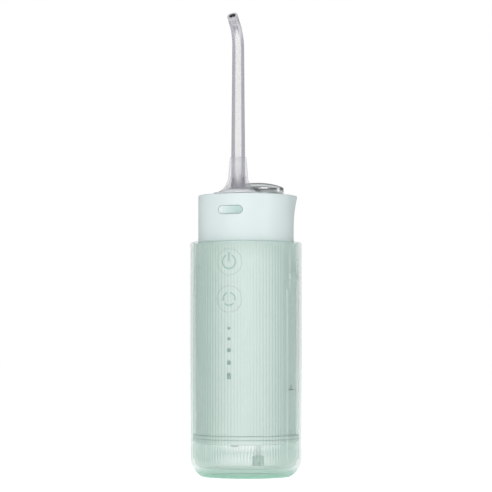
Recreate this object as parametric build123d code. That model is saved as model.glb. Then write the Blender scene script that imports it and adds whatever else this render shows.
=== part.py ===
from build123d import *
import math
import os

# A portable water flosser.  A ribbed cup is the water tank and stands on the floor.
# A round handle slides up out of it, and carries the head, the jet nozzle, the
# release button, the battery, the motor and the pump.
# Frame: millimetres, +Z up, origin at the centre of the tank's base, front at -Y.
# Heights on the handle are counted from its skin's top edge, and heights in the head
# from the head's top, so the whole handle follows the tank when that is made taller.

# ---- clearances ---------------------------------------------------------------
RUN = 0.08            # radial running fit of a shaft, piston or seal
SLIP = 0.3            # free gap between pieces that move past each other
FIT = 0.1             # gap between two pieces that are assembled and stay put
TOUCH = 0.02          # gap between a seal, bush or screw and the wall that grips it

# ---- water tank ---------------------------------------------------------------
TANK_R = 28.0         # outer radius of the cup
TANK_WALL = 2.4
TANK_H = 117.4
TANK_FLOOR = 4.2      # thickness of the clear base
BASE_ARC = 11.6       # radius of the rounded lower corner
BASE_ARC_TOP = 10.0   # height where that corner meets the wall
FLOOR_FILLET = 4.0    # inner corner between floor and wall
RIM_ROUND = 0.8
CHANNEL_DEPTH = 1.0   # guide channels in the two side windows
CHANNEL_HALF = 14.0   # degrees, upper narrow stretch
CHANNEL_WIDE = 19.0   # degrees, lower stretch that the seal's lobes run in
CHANNEL_FOOT = 10.0   # height where the channels start
CHANNEL_GAP = 0.2     # between a lug or lobe and its channel's floor

# ---- handle -------------------------------------------------------------------
TRAVEL = 72.0         # how far the handle pulls out of the tank
HANDLE_GAP = 0.4      # between the handle's skin and the tank's wall
HANDLE_WALL = 1.6
HANDLE_FOOT = 16.4    # underside of the handle at rest
HANDLE_DROP = 0.8     # the skin's top edge is this far below the tank's rim
CAP_H = 2.3           # visible edge of the bottom cap
CAP_ROUND = 1.2
CAP_FLOOR = 1.8       # thickness of the cap's disc
SEAL_H = 2.1
SEAM = 0.1            # visible line above and below the seal
SPIGOT_H = 5.5        # the cap's collar that stands up inside the handle
SPIGOT_WALL = 2.4
GROOVE_DEPTH = 1.3    # groove for the ring that seals the collar
GROOVE_W = 1.6
GROOVE_UP = 1.2       # groove's middle above the skin's lower edge
ORING_R = 0.66        # section of that ring
LOBE_INSET = 0.25     # degrees between a lobe's side and its channel
LUG_DROP = 16.6       # side lugs that keep the handle from turning
LUG_W = 11.4
LUG_T = 2.8
CAP_SCREWS = ((14.7, 8.5), (-14.7, 8.5), (0.0, -17.0))

# ---- head ---------------------------------------------------------------------
HEAD_INSET = 1.2      # the head is this much smaller in radius than the skin
HEAD_H = 24.2         # from the skin's top edge to the head's top
HEAD_WALL = 1.6
DECK_T = 2.0
LIP_OUT = 6.2         # how far the finger lip at the back stands out
LIP_H = 16.0
HEAD_ROUND = 0.5
HEAD_SPIGOT = 3.4     # collar that goes down inside the handle
BOSS_R = 2.1          # screw bosses under the deck
FRONT_BOSS = (12.8, -2.9)   # from the swivel axis
BACK_BOSS = (18.6, 6.6)

# ---- nozzle -------------------------------------------------------------------
NOZZLE_GAP = 0.5      # between the stem and the charging socket in front of it
STEM_R = 3.0
STEM_DEPTH = 19.0     # from the head's top down to the stem's foot
BORE_R = 1.1
TUBE_R = 3.45         # the tube where it leaves its sleeve
TUBE_NECK_R = 3.0     # the tube where the bend starts
BEND_RISE = 73.6      # from the head's top up to the bend
BEND_R = 16.0
BEND_ANGLE = 45.0
BEND_END = 3.6        # straight run after the bend
TIP_R = 2.65
TIP_L = 2.2
TIP_ROUND = 0.45
TIP_MOUTH_R = 1.65
TIP_MOUTH_DEPTH = 1.2
JET_R = 0.45
SKIRT_R = 12.2
SKIRT_WALL = 0.9
SKIRT_GAP = 0.25      # between the skirt and the head's top
SKIRT_EDGE = 0.45     # thickness of the skirt at its edge
SLEEVE_RISE = 18.6    # from the head's top up to the outer sleeve's top
SLEEVE_R = 4.15       # outer sleeve at its top
SLEEVE_EASE = 0.25    # eased corner at the sleeve's top
SLEEVE_FOOT_R = 4.95  # outer sleeve where the skirt starts to flare
FLARE_RISE = 8.6
FIN_COUNT = 8
FIN_T = 0.6
FIN_INSET = 2.5       # a fin ends this far inside the skirt's edge
CLIP_WIRE = 0.6
CLIP_DEPTH = 7.8      # from the head's top down to the clip
CLIP_BITE = 0.55      # how far the clip reaches into the stem's groove
CLIP_BACK = 2.6       # far end of the clip's loop
RING_R = 0.7          # section of the nozzle's O-ring
RING_DEPTH = 15.8
KEY_OUT = 0.9
KEY_W = 1.2

# ---- swivel sleeve and the seat under the nozzle ----------------------------------
SWIVEL_R = 6.5
SWIVEL_LEDGE = 1.5    # how far the flange stands out from the sleeve
SWIVEL_FLANGE_T = 1.5
SWIVEL_DEPTH = 5.8
KEEPER_WALL = 1.2     # ring that holds the flange under the deck
SOCKET_R = 5.2
SOCKET_DEPTH = 11.0   # from the head's top down to the seat's top
SOCKET_FLANGE_DEPTH = 21.3
SOCKET_PORT_DEPTH = 19.4
FLANGE_T = 2.0
FLANGE_GAP = 0.4      # between the seat's flange and the board in front of it
FLANGE_SIDE = 2.4     # flange beyond its screws
FLANGE_BACK_Y = 5.7   # flange behind the swivel axis
PORT_SIDE = 1.5       # the seat's water port is this far behind the swivel axis

# ---- release button ------------------------------------------------------------
RELEASE_X = 14.9      # half width
RELEASE_Y = 6.9       # half depth
RELEASE_AT = 14.5     # its centre, behind the axis
RELEASE_GAP = 0.2     # between the button and its opening
RELEASE_WALL_H = 4.7  # from the head's top up to the start of the dome
RELEASE_DOME = 2.7
RELEASE_SKIN = 1.4
RELEASE_STEM_X = 8.0
RELEASE_STEM_R = 1.8
RELEASE_COLLAR = 1.0  # how far a stem's clip stands out
RELEASE_COLLAR_T = 0.8
GUIDE_DEPTH = 10.2    # from the head's top down to the guide's underside
GUIDE_T = 1.6
STOP_GAP = 0.15       # between a stem's clip and the guide
SPRING_WIRE = 0.3
SPRING_TURNS = 6

# ---- power and mode buttons ----------------------------------------------------
BUTTON_R = 6.5
BUTTON_GAP = 0.12     # around a button in the skin
BUTTON_TRAVEL = 0.6
POWER_DROP = 9.8      # from the skin's top edge down to each button
MODE_DROP = 28.2
BUTTON_FLANGE = 0.8   # how far the flange behind the skin stands out
BUTTON_FLANGE_T = 0.8
SWITCH_W = 6.0
SWITCH_H = 2.5
PLUNGER_R = 1.75
PLUNGER_H = 0.45
LIGHT_DROP = (42.6, 47.8, 53.4, 59.5, 66.0)   # the five indicators, top to bottom
LIGHT_R = (0.75, 0.8, 1.05, 1.1, 1.1)
LED_W = 1.6
LED_H = 1.2
LED_T = 0.8

# ---- charging port -------------------------------------------------------------
PORT_DEPTH = 8.2      # from the head's top down to the port's middle
PORT_W = 12.6
PORT_H = 4.1
PORT_T = 1.2          # thickness of the soft cover
PORT_GAP = 0.15
PAD_W = 1.7           # how far the pad behind the cover stands out round it
PAD_H = 1.35
PAD_T = 1.2
SOCKET_W = 8.94
SOCKET_H = 3.26
SOCKET_L = 7.0
SOCKET_WALL = 0.3
SOCKET_BACK = 0.2     # the metal socket starts this far behind the head's wall
TONGUE_W = 6.8
TONGUE_T = 0.7
NUB_W = 7.4
NUB_H = 1.8
NUB_L = 0.9
USB_BOARD_W = 16.8
USB_BOARD_L = 4.9
USB_BOARD_T = 0.8
FLEX_W = 4.4
FLEX_T = 0.25

# ---- battery, board, motor, gears and pump ---------------------------------------
BATTERY_AT = (-12.9, -3.0)
BATTERY_R = 9.15
BATTERY_L = 65.0
BATTERY_CUP = 1.0     # wall of the ring that holds the battery's foot
BATTERY_CUP_H = 9.0
BATTERY_TIP = 1.2     # height of its button contact
BOARD_INSET = 7.4     # from the handle's inner wall to the back of the board
BOARD_T = 1.6
BOARD_W = 28.2
BOARD_DROP = 3.7
FRONT_CHIPS = ((-4, 4, 5.3, 8, 1.4), (-9, -4, 15.8, 3.5, 1.0), (4.5, 9, 14.3, 5, 1.2))
BACK_CHIPS = ((3, 8, 11.3, 6, 2.5), (2, 9, 23.3, 7, 3.4))   # x0, x1, foot, height, thickness
BOARD_SCREW_UP = (8.3, 33.3)
PLATE_T = 2.0         # chassis plate and gear deck
DECK_DROP = 17.6      # from the skin's top edge down to the gear deck's underside
RIB_X = 9.0           # two ribs that carry the gear deck
RIB_W = 3.2
RIB_Y = (13.0, 19.6)
DECK_SCREW_Y = 16.4
POST_X = 13.0         # two posts that carry the board
POST_W = 2.4
POST_D = 3.2
MOTOR_AT = (9.8, -3.0)
MOTOR_R = 12.2
MOTOR_L = 30.8
MOTOR_WALL = 1.0
MOTOR_BOSS_R = 3.0
MOTOR_BOSS_H = 1.5
MOTOR_SCREW_OUT = 8.0
ROTOR_R = 9.6
ROTOR_SLOTS = 5
SHAFT_R = 1.15
MODULE = 0.5
PINION_TEETH = 12
GEAR_TEETH = 48
BACKLASH = 0.08
GEAR_ANGLE = 160.0    # direction from the motor's shaft to the gear's axle
GEAR_LIFT = 1.3       # gear above the deck
GEAR_T = 3.0
AXLE_R = 1.5
CRANK_R = 4.0
CRANK_THROW = 1.75
CRANK_GAP = 0.2       # between the eccentric and the yoke's window
PUMP_LIFT = 13.0      # pump's axis above the gear deck's underside
YOKE_T = 2.4
YOKE_RIM = 1.6
PISTON_R = 4.0
PISTON_ROD_R = 1.2
PISTON_RING_R = 0.7
PISTON_END = 0.6      # free length at each end of the stroke
PUMP_BLOCK = 11.2     # square section of the pump body
PUMP_L = 11.0
PUMP_HEAD_T = 3.0
PUMP_MOUTH_X = 7.5
VALVE_SIDE = 2.3      # each valve's offset from the pump's axis
VALVE_R = 1.4
INTAKE_INSET = 0.35   # between the intake's sleeve and the groove of the cap's ring
INTAKE_R = 2.0
INTAKE_BORE = 1.4
INTAKE_LAP = 4.5      # how far the tube's top stays below its sleeve's top
FILTER_WALL = 1.0
FILTER_H = 5.0
FILTER_SLOT = (0.6, 1.0)
SLEEVE_RISE_IN = 7.5  # the intake's sleeve above the gear deck's underside
SLEEVE_WALL = 0.95
HOSE_R = 1.75
HOSE_BORE = 1.0
HOSE_IN_X = 12.5      # the pump's two water ports
HOSE_OUT_X = 14.0
SCREW_R = 1.0
SCREW_HEAD_R = 1.9
SCREW_HEAD_T = 1.2

# ---- sizes that follow from those above ------------------------------------------
TANK_IN = TANK_R - TANK_WALL
CHANNEL_R = TANK_IN + CHANNEL_DEPTH
HANDLE_R = TANK_IN - HANDLE_GAP
HANDLE_IN = HANDLE_R - HANDLE_WALL
STEP_Z = TANK_H - HANDLE_DROP
SEAL_Z = HANDLE_FOOT + CAP_H + SEAM
SHELL_Z = SEAL_Z + SEAL_H + SEAM
SHOULDER_Z = SEAL_Z + SEAL_H + TRAVEL + SLIP
LUG_R = CHANNEL_R - CHANNEL_GAP
LUG_Z = STEP_Z - LUG_DROP
SPIGOT_R = HANDLE_IN - FIT
SPIGOT_TOP = HANDLE_FOOT + CAP_H + SPIGOT_H
HEAD_R = HANDLE_R - HEAD_INSET
HEAD_IN = HEAD_R - HEAD_WALL
HEAD_TOP = STEP_Z + HEAD_H
DECK_UNDER = HEAD_TOP - DECK_T
POWER_Z = STEP_Z - POWER_DROP
MODE_Z = STEP_Z - MODE_DROP
LIGHT_Z = tuple(STEP_Z - drop for drop in LIGHT_DROP)
STEM_FOOT = HEAD_TOP - STEM_DEPTH
BEND_Z = HEAD_TOP + BEND_RISE
SKIRT_Z = HEAD_TOP + SKIRT_GAP
FLARE_Z = HEAD_TOP + FLARE_RISE
SLEEVE_TOP = HEAD_TOP + SLEEVE_RISE
CLIP_Z = HEAD_TOP - CLIP_DEPTH
RING_Z = HEAD_TOP - RING_DEPTH
SWIVEL_FOOT = HEAD_TOP - SWIVEL_DEPTH
SWIVEL_FLANGE = SWIVEL_R + SWIVEL_LEDGE
SOCKET_TOP = HEAD_TOP - SOCKET_DEPTH
SOCKET_FLANGE_TOP = HEAD_TOP - SOCKET_FLANGE_DEPTH
SOCKET_PORT_Z = HEAD_TOP - SOCKET_PORT_DEPTH
RELEASE_WALL_TOP = HEAD_TOP + RELEASE_WALL_H
RELEASE_FOOT = DECK_UNDER + SLIP
RELEASE_GUIDE_Z = HEAD_TOP - GUIDE_DEPTH
PORT_Z = HEAD_TOP - PORT_DEPTH
PORT_BACK = HEAD_R - PORT_T
USB_FRONT = SOCKET_BACK - HEAD_IN
USB_BOARD_TOP = PORT_Z - SOCKET_H / 2
NOZZLE_Y = USB_FRONT + SOCKET_L + NOZZLE_GAP + STEM_R
BOSSES = (
    (-FRONT_BOSS[0], NOZZLE_Y + FRONT_BOSS[1], SOCKET_FLANGE_TOP),
    (FRONT_BOSS[0], NOZZLE_Y + FRONT_BOSS[1], SOCKET_FLANGE_TOP),
    (-BACK_BOSS[0], BACK_BOSS[1], RELEASE_GUIDE_Z + GUIDE_T),
    (BACK_BOSS[0], BACK_BOSS[1], RELEASE_GUIDE_Z + GUIDE_T),
)
PLATE_R = HANDLE_IN - SLIP
PLATE_Z = SPIGOT_TOP
BATTERY_Z = PLATE_Z + PLATE_T + 0.2
BATTERY_TOP = BATTERY_Z + BATTERY_L
BOARD_BACK = BOARD_INSET - HANDLE_IN
BOARD_FRONT = BOARD_BACK - BOARD_T
BOARD_LOW = PLATE_Z + PLATE_T + 0.5
BOARD_TOP = STEP_Z - BOARD_DROP
BOARD_SCREWS = tuple(BOARD_LOW + up for up in BOARD_SCREW_UP)
DECK_Z = STEP_Z - DECK_DROP
DECK_TOP = DECK_Z + PLATE_T
MOTOR_Z = DECK_Z - MOTOR_L
POST_TOP = MOTOR_Z - 1.2
GEAR_R = MODULE * GEAR_TEETH / 2
PINION_R = MODULE * PINION_TEETH / 2
GEAR_AT = (
    MOTOR_AT[0] + (GEAR_R + PINION_R) * math.cos(math.radians(GEAR_ANGLE)),
    MOTOR_AT[1] + (GEAR_R + PINION_R) * math.sin(math.radians(GEAR_ANGLE)),
)
GEAR_Z = DECK_TOP + GEAR_LIFT
PUMP_Y = GEAR_AT[1]
PUMP_Z = DECK_Z + PUMP_LIFT
CRANK_TOP = PUMP_Z + YOKE_T / 2 + 0.6
YOKE_X = CRANK_R + 2 * CRANK_THROW + CRANK_GAP
YOKE_Y = CRANK_R + CRANK_THROW + CRANK_GAP
PUMP_HALF = PUMP_BLOCK / 2
PUMP_END_X = PUMP_MOUTH_X + PUMP_L
PISTON_SEAT_X = PUMP_END_X - CRANK_THROW - 2.4
SLEEVE_IN = INTAKE_R + SLIP
SLEEVE_OUT = SLEEVE_IN + SLEEVE_WALL
INTAKE_Y = SPIGOT_R - GROOVE_DEPTH - SLEEVE_OUT - INTAKE_INSET
INTAKE_SLEEVE_TOP = DECK_Z + SLEEVE_RISE_IN
INTAKE_TOP = INTAKE_SLEEVE_TOP - INTAKE_LAP
SWITCH_FACE = BOARD_FRONT - SWITCH_H - PLUNGER_H
FLANGE_BACK = SWITCH_FACE - BUTTON_TRAVEL - 0.05


# ---- small builders ----------------------------------------------------------------
def rod(radius, z0, z1, at=(0, 0)):
    """Upright solid cylinder."""
    low = (Align.CENTER, Align.CENTER, Align.MIN)
    return Pos(at[0], at[1], z0) * Cylinder(radius, z1 - z0, align=low)


def ring(outer, inner, z0, z1, at=(0, 0)):
    """Upright tube."""
    return rod(outer, z0, z1, at) - rod(inner, z0 - 1, z1 + 1, at)


def block(x0, x1, y0, y1, z0, z1):
    low = (Align.MIN, Align.MIN, Align.MIN)
    return Pos(x0, y0, z0) * Box(x1 - x0, y1 - y0, z1 - z0, align=low)


def sector(outer, z0, z1, middle, half):
    """Pie slice about the axis, centred on an angle in degrees from +X."""
    reach = outer / math.cos(math.radians(half))
    corners = [(0, 0)]
    for side in (-half, 0, half):
        turn = math.radians(middle + side)
        corners.append((reach * math.cos(turn), reach * math.sin(turn)))
    wedge = extrude(make_face(Polyline(*corners, close=True)), z1 - z0)
    return (Pos(0, 0, z0) * wedge) & rod(outer, z0, z1)


def lathe(points, at=(0, 0)):
    """Solid of revolution from (radius, height) corners."""
    profile = Plane.XZ * make_face(Polyline(*points, close=True))
    return Pos(at[0], at[1], 0) * revolve(profile, Axis.Z)


def along_y(radius, y0, y1, x, z):
    """Cylinder that lies along Y."""
    middle = (y0 + y1) / 2
    return Pos(x, middle, z) * Rot(90, 0, 0) * Cylinder(radius, y1 - y0)


def along_x(radius, x0, x1, y, z):
    """Cylinder that lies along X."""
    middle = (x0 + x1) / 2
    return Pos(middle, y, z) * Rot(0, 90, 0) * Cylinder(radius, x1 - x0)


def pill_y(width, height, y0, y1, x, z):
    """Round-ended bar of the given width and height that lies along Y."""
    half = (width - height) / 2
    bar = block(x - half, x + half, y0, y1, z - height / 2, z + height / 2)
    return bar + along_y(height / 2, y0, y1, x - half, z) + along_y(height / 2, y0, y1, x + half, z)


def oval(half_x, half_y, z0, z1, at):
    return Pos(at[0], at[1], z0) * extrude(Ellipse(half_x, half_y), z1 - z0)


def torus(major, minor, z, at=(0, 0)):
    return Pos(at[0], at[1], z) * Torus(major, minor)


def pipe(points, corner, outer, bore):
    """Hose along straight runs joined by tangent arcs."""
    path = FilletPolyline(*points, radius=corner)
    start = Plane(path @ 0, z_dir=path % 0)
    return sweep(start * Circle(outer), path) - sweep(start * Circle(bore), path)


def gear_blank(teeth, tip, root, thickness, phase):
    """Spur gear with involute flanks; phase in degrees turns the first tooth."""
    pitch = MODULE * teeth / 2
    base = pitch * math.cos(math.radians(20))

    def half_angle(radius):
        slope = math.acos(min(1.0, base / radius))
        flank = math.tan(slope) - slope
        at_pitch = math.tan(math.radians(20)) - math.radians(20)
        return (math.pi * MODULE / 2 - BACKLASH) / (2 * pitch) + at_pitch - flank

    radii = [root, max(root, base), (base + pitch) / 2, pitch, (pitch + tip) / 2, tip]
    radii = sorted(set(r for r in radii if r >= root))
    outline = []
    for tooth in range(teeth):
        middle = math.radians(phase) + 2 * math.pi * tooth / teeth
        for r in radii:
            turn = middle - half_angle(r)
            outline.append((r * math.cos(turn), r * math.sin(turn)))
        for r in reversed(radii):
            turn = middle + half_angle(r)
            outline.append((r * math.cos(turn), r * math.sin(turn)))
    return extrude(make_face(Polyline(*outline, close=True)), thickness)


# ---- water tank ------------------------------------------------------------------------
def tank_cup():
    centre = (TANK_R - BASE_ARC, BASE_ARC_TOP)
    drop = math.sqrt(BASE_ARC ** 2 - BASE_ARC_TOP ** 2)
    foot = (centre[0] + drop, 0)
    turn = math.radians(-29)
    middle = (centre[0] + BASE_ARC * math.cos(turn), centre[1] + BASE_ARC * math.sin(turn))
    outline = [
        Line((0, 0), foot),
        ThreePointArc(foot, middle, (TANK_R, BASE_ARC_TOP)),
        Line((TANK_R, BASE_ARC_TOP), (TANK_R, TANK_H)),
        Line((TANK_R, TANK_H), (0, TANK_H)),
        Line((0, TANK_H), (0, 0)),
    ]
    cup = revolve(Plane.XZ * make_face(outline), Axis.Z)
    hollow = rod(TANK_IN, TANK_FLOOR, TANK_H + 1)
    hollow = fillet(hollow.edges().sort_by(Axis.Z)[0], FLOOR_FILLET)
    cup -= hollow
    rim = cup.edges().filter_by(GeomType.CIRCLE).group_by(Axis.Z)[-1]
    cup = fillet(rim, RIM_ROUND)
    for side in (0, 180):
        cup -= sector(CHANNEL_R, CHANNEL_FOOT, SHOULDER_Z, side, CHANNEL_WIDE)
        cup -= sector(CHANNEL_R, CHANNEL_FOOT, TANK_H + 1, side, CHANNEL_HALF)
    return cup


def intake_tube():
    return ring(INTAKE_R, INTAKE_BORE, TANK_FLOOR + 2, INTAKE_TOP, (0, INTAKE_Y))


def intake_filter():
    at = (0, INTAKE_Y)
    foot = rod(INTAKE_R + FILTER_WALL, TANK_FLOOR, TANK_FLOOR + FILTER_H, at)
    foot -= rod(INTAKE_BORE, TANK_FLOOR + 0.8, TANK_FLOOR + FILTER_H + 1, at)
    foot -= rod(INTAKE_R, TANK_FLOOR + 2, TANK_FLOOR + FILTER_H + 1, at)
    for turn in (0, 60, 120):
        slot = Box(6 * INTAKE_R, *FILTER_SLOT)
        foot -= Pos(0, INTAKE_Y, TANK_FLOOR + 1.4) * Rot(0, 0, turn) * slot
    return foot


# ---- handle skin ------------------------------------------------------------------------
def housing_shell():
    shell = ring(HANDLE_R, HANDLE_IN, SHELL_Z, STEP_Z)
    for side in (-1, 1):
        x0, x1 = sorted((side * (HANDLE_IN + 0.4), side * LUG_R))
        half = (LUG_W - LUG_T) / 2
        lug = block(x0, x1, -half, half, LUG_Z - LUG_T / 2, LUG_Z + LUG_T / 2)
        lug += along_x(LUG_T / 2, x0, x1, -half, LUG_Z)
        lug += along_x(LUG_T / 2, x0, x1, half, LUG_Z)
        shell += lug & rod(LUG_R, LUG_Z - LUG_T, LUG_Z + LUG_T)
    for z in (POWER_Z, MODE_Z):
        shell -= along_y(BUTTON_R + BUTTON_GAP, -TANK_R, 0, 0, z)
    for z, radius in zip(LIGHT_Z, LIGHT_R):
        shell -= along_y(radius + FIT / 2, -TANK_R, 0, 0, z)
    return shell


def head_outline(share):
    """Outline of the head; share runs from 0 below the lip to 1 at its top."""
    out = 0.02 + LIP_OUT * share ** 2
    return make_face([
        ThreePointArc((-HEAD_R, 0), (0, -HEAD_R), (HEAD_R, 0)),
        Line((HEAD_R, 0), (HEAD_R, out)),
        ThreePointArc((HEAD_R, out), (0, HEAD_R + out), (-HEAD_R, out)),
        Line((-HEAD_R, out), (-HEAD_R, 0)),
    ])


def head_shell():
    sections = []
    for share in (0.0, 0.25, 0.5, 0.75, 1.0):
        level = Pos(0, 0, HEAD_TOP - LIP_H * (1 - share))
        sections.append(level * head_outline(share))
    crown = loft(sections)
    crown = fillet(crown.edges().group_by(Axis.Z)[-1], HEAD_ROUND)
    skirt = extrude(Pos(0, 0, STEP_Z) * head_outline(0.0), HEAD_TOP - LIP_H - STEP_Z)
    body = skirt + crown
    body -= rod(HEAD_IN, STEP_Z - 1, DECK_UNDER)
    spigot = ring(SPIGOT_R, HEAD_IN, STEP_Z - HEAD_SPIGOT, STEP_Z + 1)
    notch = BUTTON_R + BUTTON_FLANGE + 1.5
    spigot -= block(-notch, notch, -TANK_R, 0, STEP_Z - HEAD_SPIGOT - 1, STEP_Z)
    body += spigot
    # charging port: a thick pad inside the wall, a pocket for the cover, a mouth
    pad_x, pad_z = PORT_W / 2 + PAD_W, PORT_H / 2 + PAD_H
    pad = block(-pad_x, pad_x, -HEAD_IN - 0.3, PAD_T - HEAD_IN, PORT_Z - pad_z, PORT_Z + pad_z)
    body += pad & rod(HEAD_R - 0.5, STEP_Z, HEAD_TOP)
    pocket = pill_y(PORT_W + 2 * PORT_GAP, PORT_H + 2 * PORT_GAP, -TANK_R, 0, 0, PORT_Z)
    body -= pocket - rod(PORT_BACK - PORT_GAP, STEP_Z, HEAD_TOP)
    mouth = pill_y(SOCKET_W + SLIP, SOCKET_H + SLIP, -TANK_R, -HEAD_IN + 2, 0, PORT_Z)
    body -= mouth
    # openings in the deck, and the bosses that hang below it
    body -= rod(SWIVEL_R + RUN, DECK_UNDER - 1, HEAD_TOP + 1, (0, NOZZLE_Y))
    half_x, half_y = RELEASE_X + RELEASE_GAP, RELEASE_Y + RELEASE_GAP
    body -= oval(half_x, half_y, DECK_UNDER - 1, HEAD_TOP + 1, (0, RELEASE_AT))
    for x, y, foot in BOSSES:
        body += rod(BOSS_R, foot, DECK_UNDER + 0.5, (x, y))
        body -= rod(SCREW_R - 0.2, foot - 1, foot + 4, (x, y))
    return body


def lobes(outer, z0, z1):
    half = CHANNEL_WIDE - LOBE_INSET
    return sector(outer, z0, z1, 0, half) + sector(outer, z0, z1, 180, half)


def bottom_cap():
    top = HANDLE_FOOT + CAP_H
    cap = fillet(rod(HANDLE_R, HANDLE_FOOT, top).edges().sort_by(Axis.Z)[0], CAP_ROUND)
    cap += lobes(LUG_R, HANDLE_FOOT + CAP_ROUND, top)
    cap += rod(SPIGOT_R, top - 1, SPIGOT_TOP)
    cap -= rod(SPIGOT_R - SPIGOT_WALL, HANDLE_FOOT + CAP_FLOOR, SPIGOT_TOP + 1)
    low = SHELL_Z + GROOVE_UP - GROOVE_W / 2
    cap -= ring(SPIGOT_R + 1, SPIGOT_R - GROOVE_DEPTH, low, low + GROOVE_W)
    cap -= rod(SLEEVE_OUT + FIT, HANDLE_FOOT - 1, SPIGOT_TOP + 1, (0, INTAKE_Y))
    for x, y in CAP_SCREWS:
        cap -= rod(SCREW_HEAD_R + FIT, HANDLE_FOOT - 1, HANDLE_FOOT + 0.2, (x, y))
        cap += rod(SCREW_HEAD_R, HANDLE_FOOT + 1, PLATE_Z, (x, y))
        cap -= rod(SCREW_R + FIT, HANDLE_FOOT - 1, PLATE_Z + 1, (x, y))
    return cap


def piston_seal():
    seal = rod(TANK_IN - RUN, SEAL_Z, SEAL_Z + SEAL_H)
    seal += lobes(CHANNEL_R - RUN, SEAL_Z, SEAL_Z + SEAL_H)
    return seal - rod(SPIGOT_R + TOUCH, SEAL_Z - 1, SEAL_Z + SEAL_H + 1)


def housing_oring():
    return torus(SPIGOT_R - GROOVE_DEPTH + ORING_R + TOUCH, ORING_R, SHELL_Z + GROOVE_UP)


# ---- chassis, battery and board -------------------------------------------------------------
def chassis_frame():
    frame = rod(PLATE_R, PLATE_Z, PLATE_Z + PLATE_T)
    for side in (-1, 1):
        x0, x1 = side * RIB_X - RIB_W / 2, side * RIB_X + RIB_W / 2
        frame += block(x0, x1, RIB_Y[0], RIB_Y[1], PLATE_Z, DECK_Z)
        x0, x1 = side * POST_X - POST_W / 2, side * POST_X + POST_W / 2
        frame += block(x0, x1, BOARD_BACK, BOARD_BACK + POST_D, PLATE_Z, POST_TOP)
    cup = BATTERY_R + BATTERY_CUP
    frame += ring(cup, BATTERY_R + FIT, PLATE_Z, PLATE_Z + BATTERY_CUP_H, BATTERY_AT)
    frame = frame & rod(PLATE_R, PLATE_Z, DECK_Z)
    frame -= rod(SLEEVE_OUT + FIT, PLATE_Z - 1, DECK_Z + 1, (0, INTAKE_Y))
    for x, y in CAP_SCREWS:
        frame -= rod(SCREW_R + TOUCH, PLATE_Z - 1, PLATE_Z + PLATE_T + 1, (x, y))
    for side in (-1, 1):
        for z in BOARD_SCREWS:
            frame -= along_y(0.62, BOARD_BACK - 1, BOARD_BACK + 2.6, side * POST_X, z)
        frame -= rod(SCREW_R + TOUCH, DECK_Z - 7, DECK_Z + 1, (side * RIB_X, DECK_SCREW_Y))
    return frame


def cap_screws():
    group = []
    for x, y in CAP_SCREWS:
        screw = rod(SCREW_HEAD_R, HANDLE_FOOT - 0.9, HANDLE_FOOT + 0.2, (x, y))
        screw += rod(SCREW_R, HANDLE_FOOT, PLATE_Z + PLATE_T - 0.3, (x, y))
        group.append(screw)
    return Compound(group)


def deck_screws():
    group = []
    for side in (-1, 1):
        at = (side * RIB_X, DECK_SCREW_Y)
        screw = rod(SCREW_HEAD_R, DECK_TOP, DECK_TOP + SCREW_HEAD_T, at)
        group.append(screw + rod(SCREW_R, DECK_Z - 6, DECK_TOP + 0.5, at))
    return Compound(group)


def motor_screws():
    group = []
    for side in (-1, 1):
        at = (MOTOR_AT[0], MOTOR_AT[1] + side * MOTOR_SCREW_OUT)
        screw = rod(SCREW_HEAD_R, DECK_TOP, DECK_TOP + 1.0, at)
        group.append(screw + rod(SCREW_R, DECK_Z - MOTOR_WALL + 0.05, DECK_TOP + 0.5, at))
    return Compound(group)


def board_screws():
    group = []
    for side in (-1, 1):
        for z in BOARD_SCREWS:
            screw = along_y(1.2, BOARD_FRONT - 0.8, BOARD_FRONT, side * (POST_X - 0.2), z)
            shank = along_y(0.6, BOARD_FRONT - 0.4, BOARD_BACK + 2.4, side * POST_X, z)
            group.append(screw + shank)
    return Compound(group)


def battery_cell():
    cell = rod(BATTERY_R, BATTERY_Z, BATTERY_TOP, BATTERY_AT)
    cell = fillet(cell.edges().group_by(Axis.Z)[-1], 0.8)
    return cell + rod(BATTERY_R / 3, BATTERY_TOP - 1, BATTERY_TOP + BATTERY_TIP, BATTERY_AT)


def battery_pad():
    low = BATTERY_TOP + BATTERY_TIP + 0.05
    return rod(5.0, low, DECK_Z - 0.05, BATTERY_AT)


def gear_deck():
    deck = rod(PLATE_R, DECK_Z, DECK_TOP)
    deck -= block(-TANK_R, TANK_R, -TANK_R, BOARD_BACK + 0.05, DECK_Z - 1, DECK_TOP + 1)
    deck -= rod(MOTOR_BOSS_R + FIT, DECK_Z - 1, DECK_TOP + 1, MOTOR_AT)
    deck -= rod(SLEEVE_OUT + FIT, DECK_Z - 1, DECK_TOP + 1, (0, INTAKE_Y))
    deck -= rod(AXLE_R + 0.01, DECK_Z - 1, DECK_TOP + 1, GEAR_AT)
    for side in (-1, 1):
        deck -= rod(SCREW_R + FIT, DECK_Z - 1, DECK_TOP + 1, (side * RIB_X, DECK_SCREW_Y))
        at = (MOTOR_AT[0], MOTOR_AT[1] + side * MOTOR_SCREW_OUT)
        deck -= rod(SCREW_R + FIT, DECK_Z - 1, DECK_TOP + 1, at)
    return deck


def main_board():
    half = BOARD_W / 2
    board = block(-half, half, BOARD_FRONT, BOARD_BACK, BOARD_LOW, BOARD_TOP)
    for side in (-1, 1):
        for z in BOARD_SCREWS:
            board -= along_y(0.7, -TANK_R, 0, side * POST_X, z)
    return board


def board_parts():
    chips = []
    for x0, x1, up, height, thick in FRONT_CHIPS:
        low = BOARD_LOW + up
        chips.append(block(x0, x1, BOARD_FRONT - thick, BOARD_FRONT, low, low + height))
    for x0, x1, up, height, thick in BACK_CHIPS:
        low = BOARD_LOW + up
        chips.append(block(x0, x1, BOARD_BACK, BOARD_BACK + thick, low, low + height))
    return Compound(chips)


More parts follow.
